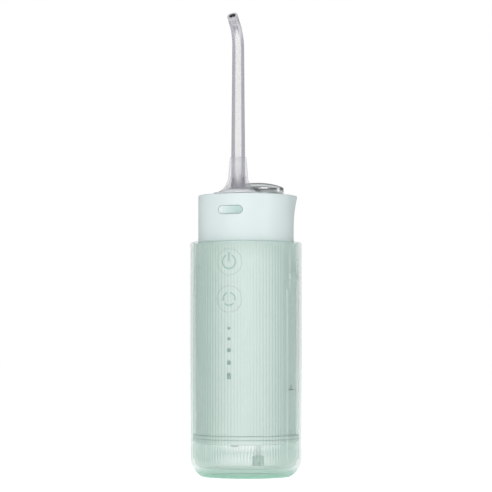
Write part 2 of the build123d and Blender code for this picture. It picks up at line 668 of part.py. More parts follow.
def tact_switches():
    group = []
    for z in (POWER_Z, MODE_Z):
        half = SWITCH_W / 2
        body = block(-half, half, BOARD_FRONT - SWITCH_H, BOARD_FRONT, z - half, z + half)
        group.append(body + along_y(PLUNGER_R, SWITCH_FACE, BOARD_FRONT - 1, 0, z))
    return Compound(group)


def indicator_leds():
    face = BOARD_FRONT - LED_T
    x, up = LED_W / 2, LED_H / 2
    return Compound([block(-x, x, face, BOARD_FRONT, z - up, z + up) for z in LIGHT_Z])


def indicator_pipes():
    skin = rod(HANDLE_R, 0, STEP_Z)
    pipes = []
    for z, radius in zip(LIGHT_Z, LIGHT_R):
        pipes.append(along_y(radius, -TANK_R, BOARD_FRONT - LED_T - FIT, 0, z) & skin)
    return Compound(pipes)


# ---- motor and gears ---------------------------------------------------------------------------
def motor_can():
    can = rod(MOTOR_R, MOTOR_Z, DECK_Z, MOTOR_AT)
    can += rod(MOTOR_BOSS_R, DECK_Z - 1, DECK_Z + MOTOR_BOSS_H, MOTOR_AT)
    can -= rod(MOTOR_R - MOTOR_WALL, MOTOR_Z + 1.6, DECK_Z - 1.6, MOTOR_AT)
    can -= rod(SHAFT_R + 0.05, MOTOR_Z + 0.6, DECK_TOP + 1, MOTOR_AT)
    for side in (-1, 1):
        at = (MOTOR_AT[0], MOTOR_AT[1] + side * MOTOR_SCREW_OUT)
        can -= rod(SCREW_R + TOUCH, DECK_Z - 2, DECK_Z + 1, at)
    return can


def motor_shaft():
    return rod(SHAFT_R, MOTOR_Z + 0.8, GEAR_Z + GEAR_T + 0.6, MOTOR_AT)


def motor_rotor():
    core = ring(ROTOR_R, SHAFT_R + 0.01, MOTOR_Z + 6, DECK_Z - 6, MOTOR_AT)
    slot = block(ROTOR_R - 1.6, ROTOR_R + 1.4, -0.9, 0.9, MOTOR_Z + 5, DECK_Z - 5)
    for step in range(ROTOR_SLOTS):
        turned = Rot(0, 0, 360 / ROTOR_SLOTS * step) * slot
        core -= Pos(MOTOR_AT[0], MOTOR_AT[1], 0) * turned
    return core


def motor_magnets():
    shell = ring(MOTOR_R - MOTOR_WALL - FIT, ROTOR_R + SLIP, MOTOR_Z + 5, DECK_Z - 5, MOTOR_AT)
    gap = block(-2, 2, -MOTOR_R, MOTOR_R, MOTOR_Z, DECK_Z)
    return shell - Pos(MOTOR_AT[0], MOTOR_AT[1], 0) * gap


def pinion():
    toward = GEAR_ANGLE
    blank = gear_blank(PINION_TEETH, PINION_R + 0.95 * MODULE, PINION_R - 1.2 * MODULE,
                       GEAR_T, toward)
    wheel = Pos(MOTOR_AT[0], MOTOR_AT[1], GEAR_Z) * blank
    return wheel - rod(SHAFT_R + 0.01, GEAR_Z - 1, GEAR_Z + GEAR_T + 1, MOTOR_AT)


def drive_gear():
    toward = GEAR_ANGLE + 180 + 180 / GEAR_TEETH
    blank = gear_blank(GEAR_TEETH, GEAR_R + 0.9 * MODULE, GEAR_R - 1.25 * MODULE,
                       GEAR_T, toward)
    wheel = Pos(GEAR_AT[0], GEAR_AT[1], GEAR_Z) * blank
    return wheel - rod(AXLE_R + 0.05, GEAR_Z - 1, GEAR_Z + GEAR_T + 1, GEAR_AT)


def crank_eccentric():
    at = (GEAR_AT[0] + CRANK_THROW, GEAR_AT[1])
    crank = rod(CRANK_R, GEAR_Z + GEAR_T, CRANK_TOP, at)
    return crank - rod(AXLE_R + 0.05, GEAR_Z, CRANK_TOP + 1, GEAR_AT)


def gear_axle():
    axle = rod(AXLE_R, DECK_Z, CRANK_TOP + 0.8, GEAR_AT)
    return axle + rod(AXLE_R + 0.9, DECK_TOP, GEAR_Z - 0.15, GEAR_AT)


# ---- pump ----------------------------------------------------------------------------------------
def piston_yoke():
    x, y = GEAR_AT
    low, high = PUMP_Z - YOKE_T / 2, PUMP_Z + YOKE_T / 2
    rim_x, rim_y = YOKE_X + YOKE_RIM, YOKE_Y + YOKE_RIM
    yoke = block(x - rim_x, x + rim_x, y - rim_y, y + rim_y, low, high)
    yoke = fillet(yoke.edges().filter_by(Axis.Z), 4.0)
    window = block(x - YOKE_X, x + YOKE_X, y - YOKE_Y, y + YOKE_Y, low - 1, high + 1)
    return yoke - fillet(window.edges().filter_by(Axis.Z), 2.5)


def pump_piston():
    rim = GEAR_AT[0] + YOKE_X + YOKE_RIM
    front = PUMP_MOUTH_X + CRANK_THROW + PISTON_END
    back = PUMP_END_X - CRANK_THROW - PISTON_END
    rod_part = along_x(PISTON_ROD_R, rim, front + 1, PUMP_Y, PUMP_Z)
    piston = along_x(PISTON_R, front, back, PUMP_Y, PUMP_Z)
    x0, x1 = PISTON_SEAT_X - PISTON_RING_R - 0.2, PISTON_SEAT_X + PISTON_RING_R + 0.2
    groove = along_x(PISTON_R + 1, x0, x1, PUMP_Y, PUMP_Z)
    groove -= along_x(PISTON_R - 2 * PISTON_RING_R, x0 - 1, x1 + 1, PUMP_Y, PUMP_Z)
    return rod_part + piston - groove


def piston_ring():
    loop = Torus(PISTON_R - PISTON_RING_R + 0.03, PISTON_RING_R)
    return Pos(PISTON_SEAT_X, PUMP_Y, PUMP_Z) * Rot(0, 90, 0) * loop


def pump_body():
    y0, y1 = PUMP_Y - PUMP_HALF, PUMP_Y + PUMP_HALF
    z0, z1 = PUMP_Z - PUMP_HALF, PUMP_Z + PUMP_HALF
    body = block(PUMP_MOUTH_X, PUMP_END_X, y0, y1, z0, z1)
    foot_x = MOTOR_AT[0] + PINION_R + MODULE + 0.5
    body += block(foot_x, PUMP_END_X, y0, y1, DECK_TOP, z0 + 1)
    body += along_y(HOSE_R + 0.45, y1 - 1, y1 + 1.2, HOSE_IN_X, PUMP_Z)
    body += along_y(HOSE_BORE, y1, y1 + 4.0, HOSE_IN_X, PUMP_Z)
    body += along_y(HOSE_BORE, y0 - 3.6, y0 + 1, HOSE_OUT_X, PUMP_Z)
    body -= along_x(PISTON_R + RUN, PUMP_MOUTH_X - 1, PUMP_END_X + 1, PUMP_Y, PUMP_Z)
    body -= along_y(HOSE_BORE / 2, PUMP_Y, y1 + 5, HOSE_IN_X, PUMP_Z)
    body -= along_y(HOSE_BORE / 2, y0 - 5, PUMP_Y, HOSE_OUT_X, PUMP_Z)
    return body


def pump_head():
    low, high = PUMP_Y - PUMP_HALF + 0.6, PUMP_Y + PUMP_HALF - 0.6
    z0, z1 = PUMP_Z - PUMP_HALF, PUMP_Z + PUMP_HALF
    head = block(PUMP_END_X, PUMP_END_X + PUMP_HEAD_T, low, high, z0, z1)
    for side in (-1, 1):
        y = PUMP_Y + side * VALVE_SIDE
        head -= along_x(VALVE_R + FIT, PUMP_END_X - 1, PUMP_END_X + 1.6, y, PUMP_Z)
    return head & rod(HEAD_IN - SLIP, z0, z1)


def check_valves():
    discs = []
    for side in (-1, 1):
        y = PUMP_Y + side * VALVE_SIDE
        discs.append(along_x(VALVE_R, PUMP_END_X + 0.05, PUMP_END_X + 0.7, y, PUMP_Z))
    return Compound(discs)


def intake_sleeve():
    at = (0, INTAKE_Y)
    sleeve = rod(SLEEVE_OUT, HANDLE_FOOT + 0.4, INTAKE_SLEEVE_TOP, at)
    sleeve -= rod(SLEEVE_IN, HANDLE_FOOT - 1, INTAKE_SLEEVE_TOP - 1.3, at)
    sleeve += rod(HOSE_BORE, INTAKE_SLEEVE_TOP - 1, INTAKE_SLEEVE_TOP + 2.6, at)
    return sleeve - rod(HOSE_BORE / 2, INTAKE_SLEEVE_TOP - 2, INTAKE_SLEEVE_TOP + 3, at)


def inlet_hose():
    port = PUMP_Y + PUMP_HALF + 1.3
    route = (
        (0, INTAKE_Y, INTAKE_SLEEVE_TOP + 0.05), (0, INTAKE_Y, PUMP_Z),
        (HOSE_IN_X, INTAKE_Y - 2, PUMP_Z), (HOSE_IN_X, port, PUMP_Z),
    )
    return pipe(route, 2.6, HOSE_R, HOSE_BORE + 0.05)


def outlet_hose():
    start = PUMP_Y - PUMP_HALF - 0.4
    x, y, z = HOSE_OUT_X, NOZZLE_Y + PORT_SIDE, SOCKET_PORT_Z
    route = ((x, start, PUMP_Z), (x, y, PUMP_Z), (x, y, z), (SOCKET_R + 1.2, y, z))
    return pipe(route, 2.4, HOSE_R, HOSE_BORE + 0.05)


# ---- nozzle seat -------------------------------------------------------------------------------
def nozzle_socket():
    at = (0, NOZZLE_Y)
    foot = SOCKET_FLANGE_TOP - FLANGE_T
    body = rod(SOCKET_R, foot, SOCKET_TOP, at)
    body += block(-5.5, 5.5, NOZZLE_Y + 2, CLIP_BACK + 2, SOCKET_TOP - 1.6, CLIP_Z - CLIP_WIRE)
    x, y0, y1 = FRONT_BOSS[0] + FLANGE_SIDE, BOARD_FRONT + FLANGE_GAP, NOZZLE_Y + FLANGE_BACK_Y
    flange = block(-x, x, y0, y1, foot, SOCKET_FLANGE_TOP)
    flange = flange & rod(HEAD_IN - FIT, foot, SOCKET_FLANGE_TOP)
    y = NOZZLE_Y + PORT_SIDE
    body += flange - rod(HOSE_R + SLIP, foot - 1, SOCKET_FLANGE_TOP + 1, (HOSE_OUT_X, y))
    body += along_x(1.9, 3, SOCKET_R + 1.1, y, SOCKET_PORT_Z)
    body += along_x(HOSE_BORE, 4, SOCKET_R + 4.0, y, SOCKET_PORT_Z)
    body -= along_x(HOSE_BORE / 2, 0, SOCKET_R + 5, y, SOCKET_PORT_Z)
    body -= rod(STEM_R + FIT, SOCKET_FLANGE_TOP + 0.4, CLIP_Z + 5, at)
    for x, y, foot_z in BOSSES[:2]:
        body -= rod(SCREW_R, foot - 1, foot_z + 1, (x, y))
    return body


def seat_screws():
    group = []
    for x, y, foot in BOSSES:
        under = foot - (FLANGE_T if y < 0 else GUIDE_T)
        screw = rod(SCREW_HEAD_R, under - SCREW_HEAD_T, under, (x, y))
        group.append(screw + rod(SCREW_R - 0.2 - TOUCH, under - 0.5, foot + 3.5, (x, y)))
    return Compound(group)


def retaining_clip():
    x = STEM_R - CLIP_BITE + CLIP_WIRE
    front = NOZZLE_Y - 2.6
    knee = CLIP_BACK - x
    clip = Pos(0, knee, CLIP_Z) * Torus(x, CLIP_WIRE)
    clip = clip & block(-x - 2, x + 2, knee, CLIP_BACK + 2, CLIP_Z - 2, CLIP_Z + 2)
    for side in (-1, 1):
        clip += along_y(CLIP_WIRE, front, knee, side * x, CLIP_Z)
    return clip


def swivel_sleeve():
    at = (0, NOZZLE_Y)
    sleeve = rod(SWIVEL_R, SWIVEL_FOOT, HEAD_TOP + 0.05, at)
    flange_z = DECK_UNDER - 0.15 - SWIVEL_FLANGE_T
    sleeve += rod(SWIVEL_FLANGE, flange_z, flange_z + SWIVEL_FLANGE_T, at)
    sleeve -= rod(STEM_R + FIT, SWIVEL_FOOT - 1, HEAD_TOP + 1, at)
    half = KEY_W / 2 + FIT
    reach = STEM_R + KEY_OUT + 0.15
    slot = block(-reach, reach, NOZZLE_Y - half, NOZZLE_Y + half, SWIVEL_FOOT - 1, HEAD_TOP + 1)
    return sleeve - slot


def swivel_retainer():
    at = (0, NOZZLE_Y)
    seat = DECK_UNDER - 0.3 - SWIVEL_FLANGE_T
    outer = SWIVEL_FLANGE + KEEPER_WALL
    keeper = ring(outer, SWIVEL_FLANGE + SLIP, seat - 0.5, DECK_UNDER, at)
    keeper += ring(outer, SWIVEL_R + SLIP, seat - 1.5, seat, at)
    return keeper & rod(HEAD_IN - PAD_T - FIT, seat - 2, DECK_UNDER)


# ---- nozzle --------------------------------------------------------------------------------------
def bend_path(foot):
    """Centre line of the tube's bend, from its straight part to its far end."""
    turn = math.radians(BEND_ANGLE)
    start = (0, NOZZLE_Y, foot)
    bend = (0, NOZZLE_Y, BEND_Z)
    sweep_y = NOZZLE_Y - BEND_R * (1 - math.cos(turn))
    rise = BEND_R * math.sin(turn)
    half = turn / 2
    middle = (0, NOZZLE_Y - BEND_R * (1 - math.cos(half)), BEND_Z + BEND_R * math.sin(half))
    knee = (0, sweep_y, BEND_Z + rise)
    end = (0, sweep_y - BEND_END * math.sin(turn), BEND_Z + rise + BEND_END * math.cos(turn))
    return Wire([Line(start, bend), ThreePointArc(bend, middle, knee), Line(knee, end)])


def tip_plane(shift=0.0):
    path = bend_path(BEND_Z - 1)
    outward = path % 1
    return Plane(origin=(path @ 1) + outward * shift, z_dir=outward)


def nozzle_tube():
    at = (0, NOZZLE_Y)
    tube = lathe((
        (0, STEM_FOOT), (STEM_R, STEM_FOOT), (STEM_R, SKIRT_Z), (TUBE_R, SKIRT_Z),
        (TUBE_R, SLEEVE_TOP), (TUBE_NECK_R, BEND_Z), (0, BEND_Z),
    ), at)
    path = bend_path(BEND_Z - 0.001)
    tube += sweep(Plane(path @ 0, z_dir=(0, 0, 1)) * Circle(TUBE_NECK_R), path)
    for side in (-1, 1):
        x0, x1 = sorted((side * (STEM_R - 0.4), side * (STEM_R + KEY_OUT)))
        half = KEY_W / 2
        tube += block(x0, x1, NOZZLE_Y - half, NOZZLE_Y + half, SWIVEL_FOOT + 1, SKIRT_Z)
    half = CLIP_WIRE + 0.2
    tube -= ring(STEM_R + 1, STEM_R - CLIP_WIRE, CLIP_Z - half, CLIP_Z + half, at)
    half = RING_R + 0.15
    tube -= ring(STEM_R + 1, STEM_R - 2 * RING_R - TOUCH, RING_Z - half, RING_Z + half, at)
    bore_path = bend_path(STEM_FOOT - 1)
    bore = sweep(Plane(bore_path @ 0, z_dir=(0, 0, 1)) * Circle(BORE_R), bore_path)
    return tube - bore


def nozzle_tip():
    low = (Align.CENTER, Align.CENTER, Align.MIN)
    tip = tip_plane(TOUCH) * Cylinder(TIP_R, TIP_L, align=low)
    tip = fillet(tip.edges().filter_by(GeomType.CIRCLE), TIP_ROUND)
    mouth = tip_plane(TOUCH + TIP_L - TIP_MOUTH_DEPTH)
    tip -= mouth * Cylinder(TIP_MOUTH_R, TIP_MOUTH_DEPTH + 1, align=low)
    return tip - tip_plane(-1) * Cylinder(JET_R, TIP_L + 3, align=low)


def nozzle_skirt():
    # the flare is one arc that leaves the sleeve straight and ends near level
    reach = SKIRT_R - SLEEVE_FOOT_R
    hole = TUBE_R + 0.03
    edge = SKIRT_Z + SKIRT_EDGE
    eased = (SLEEVE_R - SLEEVE_EASE, SLEEVE_TOP)
    shoulder = (SLEEVE_R, SLEEVE_TOP - SLEEVE_EASE)
    knee = (SLEEVE_FOOT_R + reach * 0.19, edge + (FLARE_Z - edge) * 0.34)
    outline = [
        Line((hole, SLEEVE_TOP), eased),
        Line(eased, shoulder),
        Line(shoulder, (SLEEVE_FOOT_R, FLARE_Z)),
        ThreePointArc((SLEEVE_FOOT_R, FLARE_Z), knee, (SKIRT_R, edge)),
        Line((SKIRT_R, edge), (SKIRT_R, SKIRT_Z)),
        Line((SKIRT_R, SKIRT_Z), (hole, SKIRT_Z)),
        Line((hole, SKIRT_Z), (hole, SLEEVE_TOP)),
    ]
    skirt = revolve(Plane.XZ * make_face(outline), Axis.Z)
    wall = SKIRT_WALL
    inner = (knee[0] - wall * 0.8, knee[1] - wall * 0.3)
    foot = (SKIRT_R - 2 * wall, SKIRT_Z)
    crown = (TUBE_R + 0.5, FLARE_Z - 1)
    hollow = [
        Line((hole, FLARE_Z - 1), crown),
        ThreePointArc(crown, inner, foot),
        Line(foot, (hole, SKIRT_Z)),
        Line((hole, SKIRT_Z), (hole, FLARE_Z - 1)),
    ]
    cavity = revolve(Plane.XZ * make_face(hollow), Axis.Z)
    end = SKIRT_R - FIN_INSET
    bar = block(TUBE_R + 0.2, end, -FIN_T / 2, FIN_T / 2, SKIRT_Z + SLIP, FLARE_Z)
    for step in range(FIN_COUNT):
        cavity -= Rot(0, 0, 360 * step / FIN_COUNT) * bar
    return Pos(0, NOZZLE_Y, 0) * (skirt - cavity)


def nozzle_oring():
    return torus(STEM_R - RING_R + TOUCH, RING_R, RING_Z, (0, NOZZLE_Y))


# ---- release button ---------------------------------------------------------------------------
def release_button():
    at = (0, RELEASE_AT)
    cap = oval(RELEASE_X, RELEASE_Y, RELEASE_FOOT, RELEASE_WALL_TOP, at)
    rounds = []
    for share in (0.0, 0.3, 0.6, 0.85, 0.97):
        size = math.sqrt(1 - share ** 2)
        level = Pos(0, RELEASE_AT, RELEASE_WALL_TOP + share * RELEASE_DOME)
        rounds.append(level * Ellipse(RELEASE_X * size, RELEASE_Y * size))
    cap += loft([level.face() for level in rounds])
    inner_x, inner_y = RELEASE_X - RELEASE_SKIN, RELEASE_Y - RELEASE_SKIN
    cap -= oval(inner_x, inner_y, RELEASE_FOOT - 1, RELEASE_WALL_TOP - RELEASE_SKIN, at)
    foot = RELEASE_GUIDE_Z - RELEASE_COLLAR_T - 0.8
    for side in (-1, 1):
        at = (side * RELEASE_STEM_X, RELEASE_AT)
        cap += rod(RELEASE_STEM_R, foot, RELEASE_WALL_TOP - 0.5, at)
    return cap


def release_collars():
    """Clips on the button's two stems, below the guide, that keep it in."""
    group = []
    for side in (-1, 1):
        at = (side * RELEASE_STEM_X, RELEASE_AT)
        top = RELEASE_GUIDE_Z - STOP_GAP
        outer = RELEASE_STEM_R + RELEASE_COLLAR
        group.append(ring(outer, RELEASE_STEM_R + 0.01, top - RELEASE_COLLAR_T, top, at))
    return Compound(group)


def release_guide():
    z0, z1 = RELEASE_GUIDE_Z, RELEASE_GUIDE_Z + GUIDE_T
    x, y = BACK_BOSS[0] + 2.4, BACK_BOSS[1] - 1.4
    guide = block(-x, x, y, RELEASE_AT + 6.5, z0, z1) & rod(HEAD_IN - FIT, z0, z1)
    for side in (-1, 1):
        at = (side * RELEASE_STEM_X, RELEASE_AT)
        guide -= rod(RELEASE_STEM_R + FIT, z0 - 1, z1 + 1, at)
    for x, y, foot in BOSSES[2:]:
        guide -= rod(SCREW_R, z0 - 1, z1 + 1, (x, y))
    return guide


def release_springs():
    group = []
    low = RELEASE_GUIDE_Z + GUIDE_T + SPRING_WIRE
    high = RELEASE_WALL_TOP - RELEASE_SKIN - SPRING_WIRE
    radius = RELEASE_STEM_R + SPRING_WIRE + 0.25
    for side in (-1, 1):
        helix = Helix((high - low) / SPRING_TURNS, high - low, radius)
        start = Plane(helix @ 0, z_dir=helix % 0)
        coil = sweep(start * Circle(SPRING_WIRE), helix, is_frenet=True)
        group.append(Pos(side * RELEASE_STEM_X, RELEASE_AT, low) * coil)
    return Compound(group)


# ---- power and mode buttons ------------------------------------------------------------------
def front_button(z):
    cap = along_y(BUTTON_R, -TANK_R, FLANGE_BACK, 0, z) & rod(HANDLE_R, 0, STEP_Z)
    radius = BUTTON_R + BUTTON_FLANGE
    cap += along_y(radius, FLANGE_BACK - BUTTON_FLANGE_T, FLANGE_BACK, 0, z)
    return cap


def power_button():
    return front_button(POWER_Z)


def mode_button():
    return front_button(MODE_Z)


# ---- charging port -----------------------------------------------------------------------------
def port_cover():
    plate = pill_y(PORT_W, PORT_H, -TANK_R, 0, 0, PORT_Z)
    plate = plate & ring(HEAD_R, PORT_BACK, PORT_Z - PORT_H, PORT_Z + PORT_H)
    plate = plate & block(-TANK_R, TANK_R, -TANK_R, 0, PORT_Z - PORT_H, PORT_Z + PORT_H)
    nub = pill_y(NUB_W, NUB_H, SLIP - PORT_BACK - 0.6, NUB_L - PORT_BACK, 0, PORT_Z)
    return plate + nub


def usb_socket():
    y0, y1 = USB_FRONT, USB_FRONT + SOCKET_L
    shell = pill_y(SOCKET_W, SOCKET_H, y0, y1, 0, PORT_Z)
    wall = 2 * SOCKET_WALL
    shell -= pill_y(SOCKET_W - wall, SOCKET_H - wall, y0 - 1, y1 - 0.8, 0, PORT_Z)
    x, up = TONGUE_W / 2, TONGUE_T / 2
    return shell + block(-x, x, y0 + 1.6, y1 - 0.5, PORT_Z - up, PORT_Z + up)


def usb_board():
    x, y = USB_BOARD_W / 2, USB_FRONT + 2.0
    return block(-x, x, y, y + USB_BOARD_L, USB_BOARD_TOP - USB_BOARD_T, USB_BOARD_TOP)


def charge_flex():
    top = USB_BOARD_TOP - USB_BOARD_T
    return block(-FLEX_W / 2, FLEX_W / 2, BOARD_FRONT - FLEX_T, BOARD_FRONT, BOARD_TOP - 2.6, top)


NODES = {
    "tank_cup": tank_cup,
    "intake_tube": intake_tube,
    "intake_filter": intake_filter,
    "housing_shell": housing_shell,
    "head_shell": head_shell,
    "bottom_cap": bottom_cap,
    "piston_seal": piston_seal,
    "housing_oring": housing_oring,
    "chassis_frame": chassis_frame,
    "cap_screws": cap_screws,
    "deck_screws": deck_screws,
    "motor_screws": motor_screws,
    "board_screws": board_screws,
    "seat_screws": seat_screws,
    "battery_cell": battery_cell,
    "battery_pad": battery_pad,
    "gear_deck": gear_deck,
    "main_board": main_board,
    "board_parts": board_parts,
    "tact_switches": tact_switches,
    "indicator_leds": indicator_leds,
    "indicator_pipes": indicator_pipes,
    "motor_can": motor_can,
    "motor_magnets": motor_magnets,
    "motor_shaft": motor_shaft,
    "motor_rotor": motor_rotor,
    "pinion": pinion,
    "drive_gear": drive_gear,
    "crank_eccentric": crank_eccentric,
    "gear_axle": gear_axle,
    "piston_yoke": piston_yoke,
    "pump_piston": pump_piston,
    "piston_ring": piston_ring,
    "pump_body": pump_body,
    "pump_head": pump_head,
    "check_valves": check_valves,
    "intake_sleeve": intake_sleeve,
    "inlet_hose": inlet_hose,
    "outlet_hose": outlet_hose,
    "nozzle_socket": nozzle_socket,
    "retaining_clip": retaining_clip,
    "swivel_sleeve": swivel_sleeve,
    "swivel_retainer": swivel_retainer,
    "nozzle_tube": nozzle_tube,
    "nozzle_tip": nozzle_tip,
    "nozzle_skirt": nozzle_skirt,
    "nozzle_oring": nozzle_oring,
    "release_button": release_button,
    "release_collars": release_collars,
    "release_guide": release_guide,
    "release_springs": release_springs,
    "power_button": power_button,
    "mode_button": mode_button,
    "port_cover": port_cover,
    "usb_socket": usb_socket,
    "usb_board": usb_board,
    "charge_flex": charge_flex,
}

os.makedirs("parts", exist_ok=True)
for name, build in NODES.items():
    export_step(build(), os.path.join("parts", name + ".step"))
    print("wrote", name)
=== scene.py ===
import math
import bmesh
import bpy
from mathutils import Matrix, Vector


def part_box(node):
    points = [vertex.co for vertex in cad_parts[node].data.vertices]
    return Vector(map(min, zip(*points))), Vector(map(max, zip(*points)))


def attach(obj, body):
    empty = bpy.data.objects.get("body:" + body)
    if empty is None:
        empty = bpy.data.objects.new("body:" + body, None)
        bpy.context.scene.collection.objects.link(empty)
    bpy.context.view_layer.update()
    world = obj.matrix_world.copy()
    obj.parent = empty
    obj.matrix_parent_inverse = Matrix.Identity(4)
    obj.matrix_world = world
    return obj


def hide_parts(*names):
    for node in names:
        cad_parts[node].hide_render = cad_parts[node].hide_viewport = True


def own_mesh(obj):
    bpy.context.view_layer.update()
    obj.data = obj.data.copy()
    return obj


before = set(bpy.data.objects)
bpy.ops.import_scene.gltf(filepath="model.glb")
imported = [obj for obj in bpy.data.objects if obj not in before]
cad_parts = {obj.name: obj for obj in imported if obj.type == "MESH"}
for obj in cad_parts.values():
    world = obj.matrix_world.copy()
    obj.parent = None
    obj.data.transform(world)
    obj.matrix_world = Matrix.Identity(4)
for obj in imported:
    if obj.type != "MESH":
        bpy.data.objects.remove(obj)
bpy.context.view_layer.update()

MM = 0.001

# ---- tank cup ----------------------------------------------------------------------
# The cup is moulded in clear mint plastic, frosted by fine upright flutes on its
# front and back.  Two plain windows are left at the sides, where channels inside
# guide the handle.  It stands on a thick clear base.


class Link:
    """An output of a material's tree; arithmetic on it adds Math nodes."""

    def __init__(self, finish, socket):
        self.finish = finish
        self.socket = socket

    def calc(self, operation, *values):
        return self.finish.node("Math", {"operation": operation}, *values)

    def __add__(self, other):
        return self.calc("ADD", self, other)

    def __radd__(self, other):
        return self.calc("ADD", other, self)

    def __sub__(self, other):
        return self.calc("SUBTRACT", self, other)

    def __rsub__(self, other):
        return self.calc("SUBTRACT", other, self)

    def __mul__(self, other):
        return self.calc("MULTIPLY", self, other)

    def __rmul__(self, other):
        return self.calc("MULTIPLY", other, self)

    def __truediv__(self, other):
        return self.calc("DIVIDE", self, other)

    def __pow__(self, other):
        return self.calc("POWER", self, other)

    def clip(self):
        return self.finish.node("Clamp", {}, self)


class Finish:
    """A material that is built node by node."""

    def __init__(self, name):
        self.material = bpy.data.materials.new(name)
        self.material.use_nodes = True
        self.tree = self.material.node_tree
        self.tree.nodes.clear()
        self.out = self.tree.nodes.new("ShaderNodeOutputMaterial")

    def feed(self, socket, value):
        if isinstance(value, Link):
            self.tree.links.new(value.socket, socket)
        elif isinstance(value, tuple) and socket.type == "RGBA" and len(value) == 3:
            socket.default_value = (*value, 1.0)
        else:
            socket.default_value = value

    def node(self, kind, settings=None, *values, out=0, **named):
        """Adds a node: its settings first, then its inputs in order or by name."""
        made = self.tree.nodes.new("ShaderNode" + kind)
        for key, value in (settings or {}).items():
            if key == "ramp":
                stops = made.color_ramp.elements
                while len(stops) < len(value):
                    stops.new(0.5)
                for stop, (place, shade) in zip(stops, value):
                    stop.position = place
                    stop.color = (*shade, 1.0) if len(shade) == 3 else shade
            else:
                setattr(made, key, value)
        for socket, value in zip(made.inputs, values):
            self.feed(socket, value)
        for key, value in named.items():
            self.feed(made.inputs[key.replace("_", " ")], value)
        return Link(self, made.outputs[out])

    def tint(self, factor, first, second):
        """A colour between two others."""
        made = self.tree.nodes.new("ShaderNodeMix")
        made.data_type = "RGBA"
        for index, value in ((0, factor), (6, first), (7, second)):
            self.feed(made.inputs[index], value)
        return Link(self, made.outputs[2])

    def place(self):
        """Object coordinates in millimetres, as x, y and z."""
        spot = self.node("TexCoord", {}, out=3)
        parts = self.node("SeparateXYZ", {}, spot).socket.node
        return spot, [Link(self, parts.outputs[i]) * 1000.0 for i in range(3)]

    def grain(self, spot, size_mm, detail=3.0):
        """Soft noise from 0 to 1 with grains of about the given size."""
        return self.node("TexNoise", {}, Vector=spot, Scale=1000.0 / size_mm, Detail=detail)

    def bump(self, height, strength, depth_mm):
        return self.node("Bump", {}, Height=height, Strength=strength, Distance=depth_mm * MM)

    def surface(self, shader):
        self.tree.links.new(shader.socket, self.out.inputs["Surface"])
        return self.material


def make_piece(name, points, faces, finish, smooth=True):
    """A mesh object whose points are given in millimetres in the shared frame."""
    mesh = bpy.data.meshes.new(name)
    mesh.from_pydata([Vector(p) * MM for p in points], [], faces)
    mesh.validate()
    mesh.update()
    for face in mesh.polygons:
        face.use_smooth = smooth
    mesh.materials.append(finish)
    piece = bpy.data.objects.new(name, mesh)
    bpy.context.scene.collection.objects.link(piece)
    return piece


def set_piece(piece, body, slot, *nodes):
    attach(piece, body)
    if nodes:
        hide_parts(*nodes)


def ease(value, low, high):
    share = min(1.0, max(0.0, (value - low) / (high - low)))
    return share * share * (3 - 2 * share)


_, cup_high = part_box("tank_cup")
cup_r = cup_high.x / MM
cup_h = cup_high.z / MM
cup_wall = 2.4
cup_in = cup_r - cup_wall
cup_floor = 4.2
base_arc = 11.6
base_arc_top = 10.0
channel_depth = 1.0
channel_half = 14.0
channel_wide = 19.0
channel_shoulder = 93.2
channel_foot = 9.0
rim_round = cup_wall / 2
foot_rise = 0.5
flute_count = 105
flute_depth = 0.22
flute_half = 60.0
flute_foot = 9.5
cup_columns = 1050


def channel(angle, z):
    """Depth of the guide channel in the inner wall at an angle from the front."""
    if z < channel_foot:
        return 0.0
    side = abs(abs(angle) - 90.0)
    half = channel_half if z > channel_shoulder else channel_wide
    return channel_depth * (1 - ease(side, half - 0.25, half + 0.25))


def cup_profile():
    """(radius, height, is inner) from the floor's middle over the rim to the base's middle."""
    rows = [(r, cup_floor, True) for r in (0.05, 8.0, 16.0, 20.5)]
    fillet = 4.0
    for step in range(1, 7):
        turn = math.radians(15 * step)
        r = cup_in - fillet + fillet * math.sin(turn)
        rows.append((r, cup_floor + fillet - fillet * math.cos(turn), True))
    for z in (channel_foot, 9.3, 10.0, 30.0, 60.0, 92.9, channel_shoulder, 93.5, 105.0,
              cup_h - rim_round):
        rows.append((cup_in, z, True))
    for step in range(9):
        turn = math.radians(180 - 22.5 * step)
        r = (cup_in + cup_r) / 2 + rim_round * math.cos(turn)
        rows.append((r, cup_h - rim_round + rim_round * math.sin(turn), step < 4))
    for z in (cup_h - 2.0, cup_h - 2.8, 100.0, 80.0, 60.0, 40.0, 20.0, 14.0, base_arc_top):
        rows.append((cup_r, z, False))
    last = math.asin(base_arc_top / base_arc)
    for step in range(1, 11):
        turn = last * step / 10
        r = cup_r - base_arc + base_arc * math.cos(turn)
        rows.append((r, base_arc_top - base_arc * math.sin(turn), False))
    rows.append((21.6, 0.0, False))
    for r in (20.4, 12.0, 0.05):
        rows.append((r, foot_rise, False))
    return rows


def turned(profile, columns, shift=None, axis_y=0.0, closed=False):
    """Points and faces of a profile turned about an upright axis; a closed one has no ends."""
    points = []
    for r, z, *rest in profile:
        for column in range(columns):
            turn = 2 * math.pi * column / columns
            angle = (math.degrees(turn) + 180.0) % 360.0 - 180.0
            reach = r + (shift(angle, z, *rest) if shift else 0.0)
            points.append((reach * math.sin(turn), axis_y - reach * math.cos(turn), z))
    faces = []
    rows = len(profile)
    for row in range(rows if closed else rows - 1):
        low, high = row * columns, (row + 1) % rows * columns
        for column in range(columns):
            after = (column + 1) % columns
            faces.append((low + column, high + column, high + after, low + after))
    if not closed:
        faces.append(tuple(range(columns)))
        faces.append(tuple(range((rows - 1) * columns, rows * columns))[::-1])
    return points, faces


